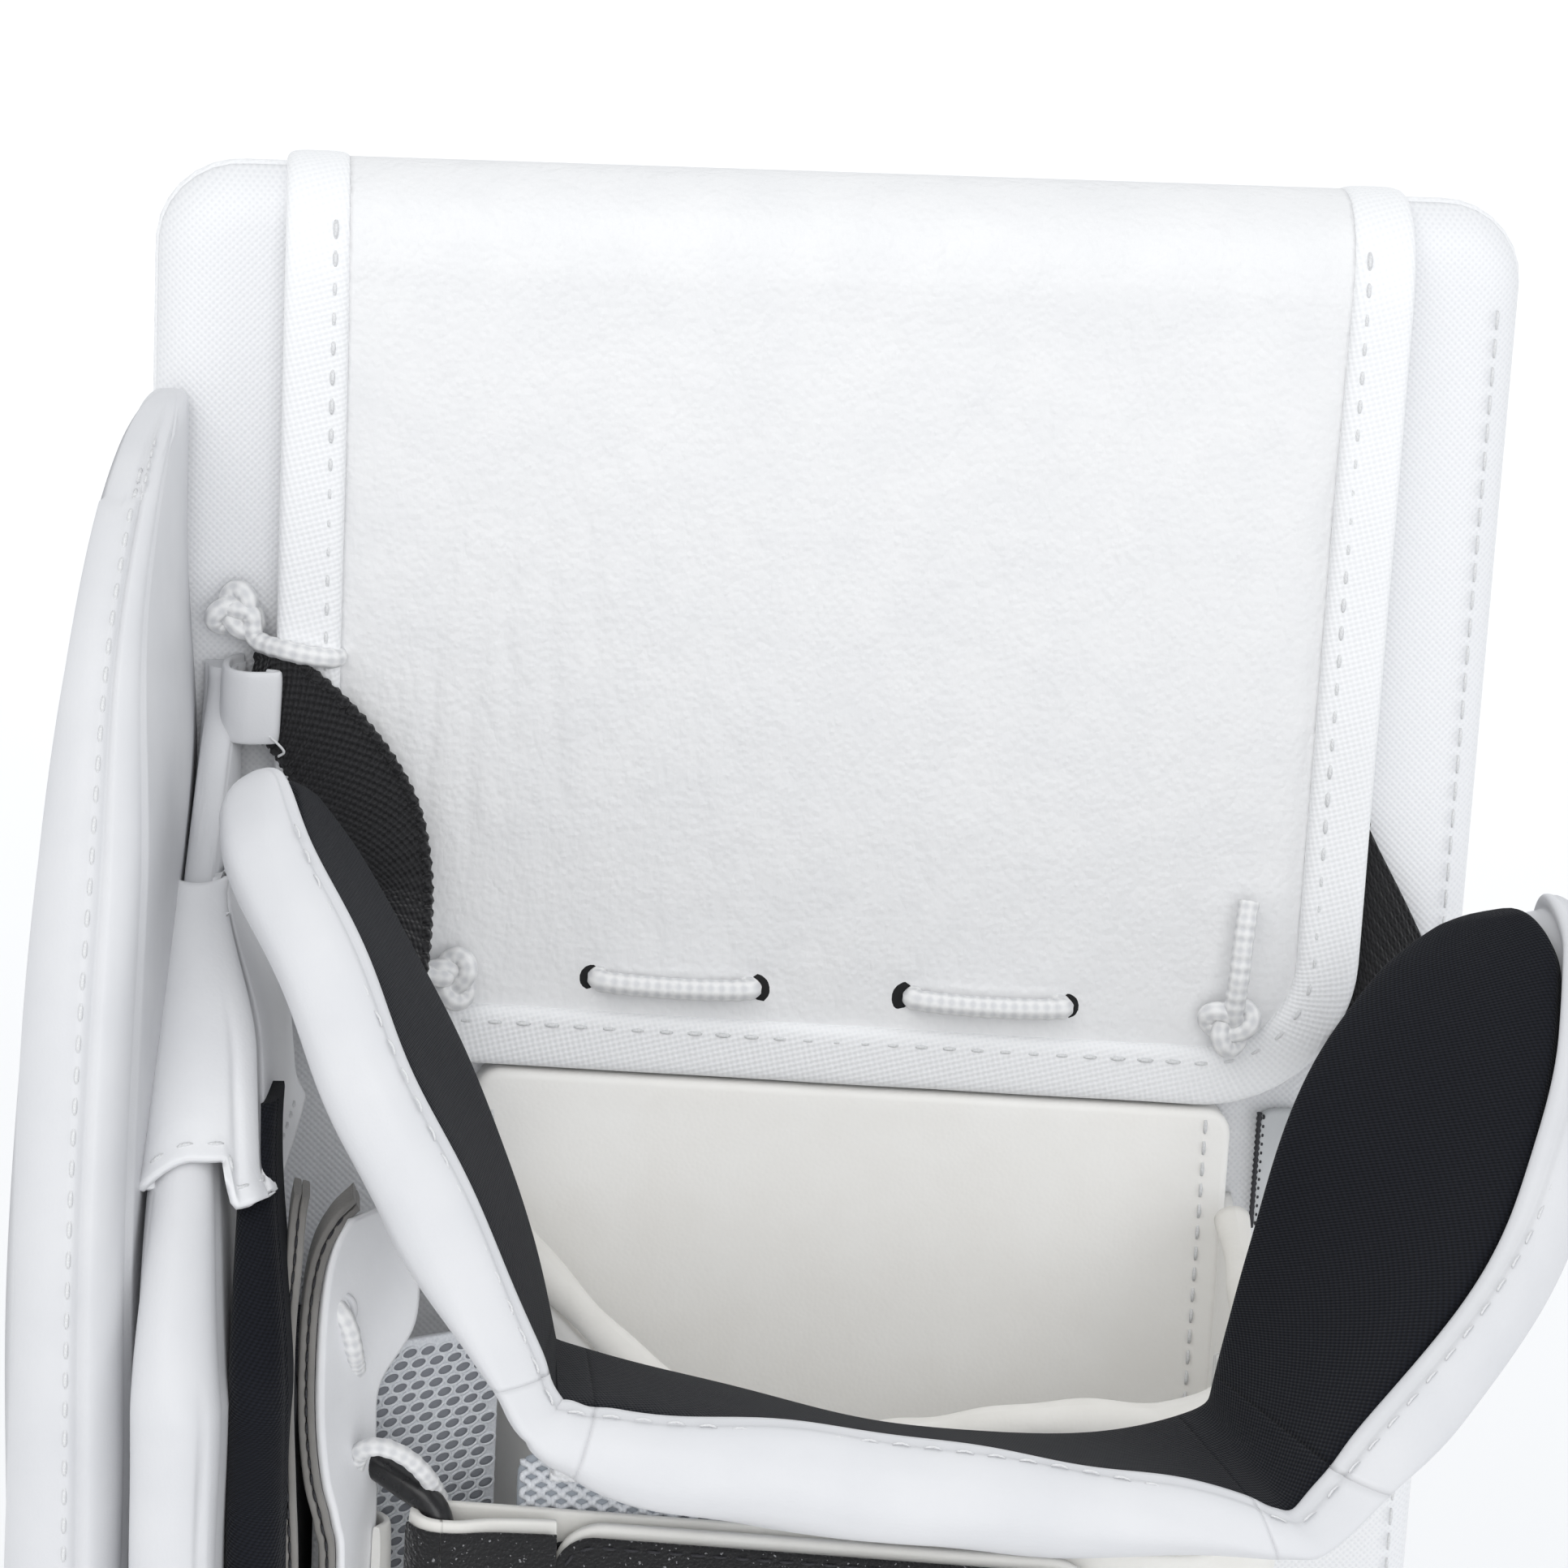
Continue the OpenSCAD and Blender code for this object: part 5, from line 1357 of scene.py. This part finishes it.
def oval_holes(low, high, pitch, size, turn, depth, rim):
    """Staggered oval holes in a mesh: for each a dark mouth and the raised ring of yarn round it."""
    origin, along, out, up = (np.array(v, float) for v in turn)
    a = 2 * np.pi * np.arange(16)[:, None] / 16
    oval = size[0] * np.cos(a) * along + size[1] * np.sin(a) * (0.96 * up + 0.28 * along)
    mouths, rings = [], []
    for k, z in enumerate(np.arange(low[1] + pitch[1], high[1] - pitch[1] / 2, pitch[1])):
        for x in np.arange(low[0] + pitch[0] * (0.6 + 0.5 * (k % 2)), high[0] - pitch[0] / 2, pitch[0]):
            centre = origin + x * along + z * up + depth * out
            mouths.append((np.array([centre + oval - 0.5 * out, centre + oval + 0.06 * out,
                                     centre + 0.4 * oval + 0.07 * out]), False, True))
            rings.append((tube_grid(centre + 1.2 * oval, rim, 7, tuple(out), True), True, True))
    return mouths, rings


def edge_strip(path, deep, layers=2, thick=1.15):
    """A seam's raw edge: thin layers pressed together, on edge along a path and reaching back from it."""
    side = unit(np.cross(tangents(path), [0, 1.0, 0]))
    back = np.broadcast_to([0, 1.0, 0], path.shape)
    section = super_section(20, 0.35) * [thick / 2, deep / 2] + [0, deep / 2]
    return [(sweep(path + side * (k - (layers - 1) / 2) * (thick + 0.1), side, back, section), False, True)
            for k in range(layers)]


def make_thumb_side():
    """The white side panel, its leather and laces, the mesh gusset, the raw-edged welts and the web."""
    low, high = box("thumb_side_panel")
    lean = unit(np.array([-0.1, -1.0, 0]))
    out = unit(np.array([1.0, -0.1, 0]))
    panel = plate((0.4, low[2]), (57, high[2] - 4), 1.9, 0.1, 6, 0.8, -0.2,
                  ((-69.7, 0, 0), lean, out, (0, 0, 1)))
    piece("thumb_panel", [(panel, False, True)], NYLON, "board", ["thumb_side_panel"])
    left = line_of([(-77.9, -58, 245.4), (-78.4, -61, 243.3), (-78.9, -66, 237.9), (-79.6, -71, 230.1),
                    (-79.7, -74, 219.1), (-79.1, -75, 206), (-78.4, -74.5, 190), (-78, -73, 150),
                    (-77.5, -71, 99)], 170)
    right = line_of([(-70, -52, 241.8), (-72.7, -56, 240.4), (-75, -60, 237.4), (-76.3, -64, 232.2),
                     (-76.8, -67, 223.6), (-76.6, -68, 214.1), (-75.6, -68, 205.3), (-74.1, -68, 199),
                     (-73.2, -68, 190), (-74.2, -67.5, 150), (-74.4, -66, 99)], 190)
    welts = edge_strip(left, 6.5) + edge_strip(right, 6.5)
    piece("welt_layers", welts, WELT, "board", ["thumb_welts"])
    seams = stitch_grids(left[4:-4], facing(left[4:-4], (0, -1, 0)), 2.6, 1.8, 0.2, 0.05)
    seams += stitch_grids(right[4:-4], facing(right[4:-4], (0, -1, 0)), 2.6, 1.8, 0.2, 0.05)
    piece("welt_stitches", seams, DARK_THREAD, "board")
    far = line_of([(-60.4, -44, 239), (-61.1, -46, 230.1), (-61.8, -48, 222), (-66.6, -49.5, 214),
                   (-67.2, -50, 206.3), (-66.9, -50.5, 197.3), (-67.3, -51.5, 185), (-69.5, -51, 164)], 90)
    near = evenly(right[6:][right[6:, 2] > 162] + [1.3, 1.5, 0], 90)
    t = np.linspace(0, 1, 30)[None, :, None]
    sheet = near[:, None] * (1 - t) + far[:, None] * t
    sheet[..., 1] += 2.2 * np.sin(np.pi * t[..., 0]) + 0.4 * np.sin(sheet[..., 2] / 7)
    # This leather wears the brighter copy of the white leather: painted light against the shade it sits in.
    skin = piece("thumb_leather", [(sheet, False, False)], PAINTED_LIGHT_WHITE, "board")
    thicken(skin, 1.2)
    seam = sheet[4:60, 3] + [0, -0.1, 0]
    piece("thumb_leather_stitches", stitch_grids(seam, facing(seam, (0.3, -1, 0)), 2.6, 1.7, 0.2), THREAD,
          "board")
    upper = line_of([(-74.2, -56, 226.5), (-72.6, -59.6, 229), (-70.9, -60.4, 226.4), (-70, -59.2, 222.1),
                     (-69.4, -54.5, 217.4)], 70)
    lower = line_of([(-69.4, -52.5, 200.5), (-68.4, -57, 205.8), (-65.6, -58.4, 207), (-62.1, -58.2, 205.4),
                     (-59, -56.8, 201.8), (-56.8, -53, 196.4)], 110)
    piece("palm_cord", [(braid_grid(line, 1.4), False, True) for line in (upper, lower)], CORD, "board",
          ["palm_lace"])
    t = np.linspace(0, 2 * np.pi, 36, endpoint=False)[:, None]
    middle, across, up = np.array([[-72.6, -58.6, 228], [0.95, 0.3, 0], [0, 0, 1.0]])
    ring = middle + 2.6 * (np.cos(t) * across + np.sin(t) * up)
    piece("thumb_eyelet", [(tube_grid(ring, 0.6, 10, (0, 1, 0), True), True, True)], PADDED, "board")
    make_gusset()
    low, high = box("thumb_web")
    web = plate((low[0], low[1]), (high[0], high[1]), high[2], low[2], 5, 0.9, -0.3,
                ((0, 0, 0), (1, 0, 0), (0, 0, 1), (0, 1, 0)))
    piece("thumb_web_leather", [(web, False, True)], PALM, "board", ["thumb_web"])


def make_gusset():
    """The mesh between thumb and palm: a white knit sheet with oval holes."""
    a, b = np.array([-70.0, -45.5, 0]), np.array([-48.3, -36.0, 0])
    along = unit(b - a)
    span = np.linalg.norm(b - a)
    turn = (a, along, (along[1], -along[0], 0), (0, 0, 1))
    low, high = box("thumb_gusset")
    high = high[2] + 6
    back = plate((0, low[2]), (span, high), 0.8, -0.8, 5, 0.4, 0, turn)
    piece("gusset_knit", [(back, False, True)], YARN, "board", ["thumb_gusset"])
    mouths, rings = oval_holes((0, low[2]), (span, high), (2.9, 1.75), (1.08, 0.76), turn, 0.8, 0.24)
    piece("gusset_holes", mouths, MESH_SHADE, "board")
    piece("gusset_rims", rings, YARN, "board")


MESH_SHADE = Finish("mesh_shade", (0.23, 0.24, 0.265), 0.9).mat
# Painted shadow: the blue-grey of the sheet behind the heel mesh, the shade that shows through its holes; it
# borrows the soft leather's grain.
MESH_SHADOW_SHEET = soft_leather("mesh_shadow_sheet", (0.42, 0.45, 0.49), (0.34, 0.37, 0.41))
WELT = soft_leather("welt_leather", (0.25, 0.24, 0.228), (0.18, 0.174, 0.165))
make_palm()
make_thumb_side()


# Fingers

def stall_rings(centre, radius, bore, top, length, flat=0.94):
    """A finger stall: up the inside, over the mouth, down the outside and round the finger's end.

    The outside swells at each joint of the finger and is drawn in where it bends.
    """
    a = 2 * np.pi * np.arange(56) / 56
    ring = np.stack([np.cos(a), np.sin(a) * flat], axis=1)
    rows = [(bore * k, top - length + 6 + 1.5 * (1 - k)) for k in (0.05, 0.5, 0.85, 1)]
    rows += [(bore, z) for z in np.linspace(top - length + 14, top - 1.2, 30)]
    rows += [(bore + 0.3, top - 0.4), ((bore + radius) / 2, top), (radius - 0.4, top - 0.4)]
    for z in np.linspace(top - 1.2, top - length + radius, 60):
        t = (top - z) / length
        drawn = 0.05 * bump_at(t, 0.36, 0.05) + 0.05 * bump_at(t, 0.66, 0.045) + 0.03 * t
        rows.append((radius * (1 - drawn), z))
    for b in np.linspace(0, np.pi / 2, 16)[1:]:
        rows.append((radius * 0.955 * max(math.cos(b), 0.02), top - length + radius * (1 - math.sin(b))))
    rows = np.array(rows)
    xy = np.array(centre) + rows[:, :1, None] * ring[None]
    z = np.broadcast_to(rows[:, 1:, None], xy.shape[:2] + (1,))
    return np.concatenate([xy, z], axis=2)


def make_stall(name, centre, radius, bore, top, length):
    """One stall with its two side seams."""
    grid = stall_rings(centre, radius, bore, top, length)
    glove = piece(f"{name}_glove", [(grid, False, True)], PALM, None, [f"{name}_stall"])
    patches = []
    for column, way in ((3, (1, 0.25, 0)), (25, (-1, 0.25, 0))):
        line = grid[42:-8, column]
        patches += stitch_grids(line, facing(line, way), 3.2, 2.1, 0.28)
    seams = piece(f"{name}_stitches", patches, THREAD, None)
    for obj in (glove, seams):
        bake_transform(obj)


FINGER_X = {"index": -32.5, "middle": -4.5, "ring": 23.5, "little": 51.5}
FINGER_Y, FINGER_R, FINGER_BORE, FINGER_TOP, FINGER_LONG = -26.6, 13.0, 10.5, 111.5, 84.0


def make_fingers():
    """Four finger stalls, the thumb stall and the quilted pad between the fingers and the board."""
    for name, x in FINGER_X.items():
        make_stall(name, (x, FINGER_Y), FINGER_R, FINGER_BORE, FINGER_TOP, FINGER_LONG)
    make_stall("thumb", (-60.35, -48.0), 11.5, 8.5, 147.5, 80.0)
    pad = plate_of("finger_pad", 8, 5.5, 0.4)
    groove = sum(bump_at(pad[..., 0], x, 1.4) for x in (-18.5, 9.5, 37.5))
    deep = smooth((-pad[..., 1] - 7) / 5) * smooth((pad[..., 2] - 24) / 8) * smooth((109 - pad[..., 2]) / 8)
    pad[..., 1] += 2.0 * groove * deep
    piece("finger_back_pad", [(pad, False, True)], PADDED, "board",
                    ["finger_pad"])


make_fingers()


# Wrist strap

STRAP_LOW, STRAP_HIGH = box("wrist_strap")


STRAP_DROOP, RING_X = 0.075, -62
STRAP_OFF = 3.7


def drooped(points):
    """The strap hangs lower towards the little finger: STRAP_DROOP of the distance from the ring."""
    points = np.array(points, float)
    points[..., 2] -= STRAP_DROOP * np.clip(points[..., 0] - RING_X, 0, 200)
    return points


def band(path, low, high, thick, edge=0.35):
    """A strap on edge: a flat rounded section, as wide as the strap, carried along a line in X and Y."""
    line = np.insert(np.asarray(path, float), 2, (low + high) / 2, axis=1)
    side = unit(np.cross(tangents(line), [0, 0, 1.0]))
    return sweep(line, side, facing(line, (0, 0, 1)), super_section(40, edge) * [thick / 2, (high - low) / 2])


BEND_END = -40.0


def make_strap():
    """The strap across the palm and round the ring, its tail with the two tapes, the ring and its tab."""
    low, high = STRAP_LOW[2], STRAP_HIGH[2]
    near, far = np.array([-57, -57.3]), np.array([-67.5, -50.3])
    piece("palm_strap", [(drooped(band(strap_line(near), low, high, 2.1)), False, True)], STRAP, "board",
          ["wrist_strap"])
    tail_low, tail_high = box("strap_tail")
    tail = plate((BEND_END - 0.4, tail_low[2]), (tail_high[0], tail_high[2]), tail_low[1], tail_high[1], 8,
                 0.9, 0.1)
    piece("strap_tail_band", [(drooped(tail), False, True)], STRAP, "strap_tail",
          ["strap_tail"])
    piece("strap_hooks", [(drooped(plate_of("strap_hook_tape", 4, 0.5, 0.05)), False, True)], FUZZ, "board",
          ["strap_hook_tape"])
    tape_y = box("strap_loop_tape")[0][1]
    turn = np.radians([200, 225, 250, 270])
    line = spline(near + 4.9 * np.stack([np.cos(turn), np.sin(turn)], axis=1), 40)
    piece("strap_turn_hooks", [(drooped(band(line, low + 1.3, high - 1.3, 0.9)), False, True)], FUZZ,
          "board")
    middle = (tail_low[1] + tail_high[1]) / 2
    leather = spline([(near[0], near[1] - 3.5), (-54, -60.5), (-49, -58.8), (BEND_END, middle)], 70)
    tape = spline([(near[0] + 0.1, near[1] - 4.9), (-54, -61.9), (-49, -60.6), (BEND_END, tape_y + 0.3)], 70)
    bend = piece("strap_bend", [(drooped(band(leather, low, high, 2.0)), False, True)], STRAP, None)
    hooks = piece("strap_bend_hooks", [(drooped(band(tape, low + 1.3, high - 1.3, 0.9)), False, True)], FUZZ,
                  None)
    for bent in (bend, hooks):
        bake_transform(bent)
    tape_low, tape_high = np.array([BEND_END - 0.3, 0, tail_low[2] + 1.3]), tail_high - 1.3
    tape = plate((tape_low[0], tape_low[2]), (tape_high[0], tape_high[2]), tape_y - 0.2, tape_y + 0.9, 6,
                 0.5, 0.1)
    piece("strap_loops", [(drooped(tape), False, True)], FUZZ, "strap_tail",
          ["strap_loop_tape"])
    frame_line = rounded_outline((tape_low[0] + 1.3, tape_low[2] + 1.3),
                                 (tape_high[0] - 1.3, tape_high[2] - 1.3), (5, 5, 5, 5), 160)
    frame_line = drooped(np.insert(frame_line, 1, tape_y - 0.35, axis=1))
    piece("strap_tape_stitches", stitch_grids(frame_line, facing(frame_line, (0, -1, 0)), 3.2, 2.1, 0.25),
          DARK_THREAD, "strap_tail")
    make_ring(near, far)


def strap_line(near):
    """The strap from above: from the board round the pouch, along the palm and round the ring's near bar."""
    turn = np.radians(np.linspace(90, 270, 20))
    loop = near + 3.5 * np.stack([np.cos(turn), np.sin(turn)], axis=1)
    side, face = HAND_RIGHT + STRAP_OFF, PALM_Y - STRAP_OFF
    bend = np.radians([10, 35, 60, 80])
    middle = np.array([HAND_RIGHT - POUCH_R, PALM_Y + POUCH_R])
    corner = middle + (POUCH_R + STRAP_OFF) * np.stack([np.cos(bend), -np.sin(bend)], axis=1)
    return spline([(side, -1.2), (side, -14), (side, -27), *corner, (35, face), (10, face), (-40, face),
                   (-50, face - 0.05), *loop[::3], (near[0] + 0.4, near[1] - 3.5)], 280)


def make_ring(near, far):
    """The plastic ring: a rounded rectangle of round bar through strap and tab. The tab is a doubled loop."""
    low, high = box("strap_ring")
    across = np.append(far - near, 0)
    width = np.linalg.norm(across)
    across = across / width
    outline = rounded_outline((0, low[2] + 2.2), (width, high[2] - 2.2), (2.5, 2.5, 2.5, 2.5), 150)
    path = np.append(near, 0) + outline[:, :1] * (1.15 * across) + outline[:, 1:] * np.array([0, 0, 1.0])
    path[:, 2] += 0.42 * (outline[:, 0] - width / 2)
    ring = tube_grid(path, 2.15, 20, (across[1], -across[0], 0), True)
    piece("strap_ring_bar", [(ring, True, True)], PLASTIC, "board", ["strap_ring"])
    tab_low, tab_high = box("ring_tab")
    turn = np.radians(np.linspace(-60, 210, 16))
    loop = far + 3.2 * np.stack([np.cos(turn), np.sin(turn)], axis=1)
    start = np.array([tab_low[0] + 0.5, max(tab_high[1] - 1, far[1] + 3)])
    line = spline([start, *loop[::3][::-1]], 90)
    piece("ring_leather_tab", [(band(line, tab_low[2], tab_high[2], 1.5), False, True)], PALM, "board",
          ["ring_tab"])


STRAP = soft_leather("strap_leather", (0.83, 0.82, 0.785), (0.78, 0.765, 0.725))
make_strap()


def make_hinge():
    """The tape that hangs the cuff: from the heel of the palm up to the base's wrist line."""
    low, high = box("cuff_hinge_tape")
    foot = low[2]
    path = spline([(high[1] - 0.9, foot + 0.5), (high[1] - 1.6, foot + 2.5), (low[1] + 4, foot + 5),
                   (low[1] + 1.4, foot + 7.5)], 40)
    ring = super_section(40, 0.3)
    x = (low[0] + high[0]) / 2 + ring[:, 0] * (high[0] - low[0]) / 2
    t = tangents(path)
    normal = np.stack([t[:, 1], -t[:, 0]], axis=1)
    yz = path[:, None] + normal[:, None] * ring[None, :, 1:] * 0.9
    grid = np.concatenate([np.broadcast_to(x[None, :, None], yz.shape[:2] + (1,)), yz], axis=2)
    tape = piece("hinge_tape", [(grid, False, True)], NYLON, None, ["cuff_hinge_tape"])
    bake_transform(tape)


make_hinge()
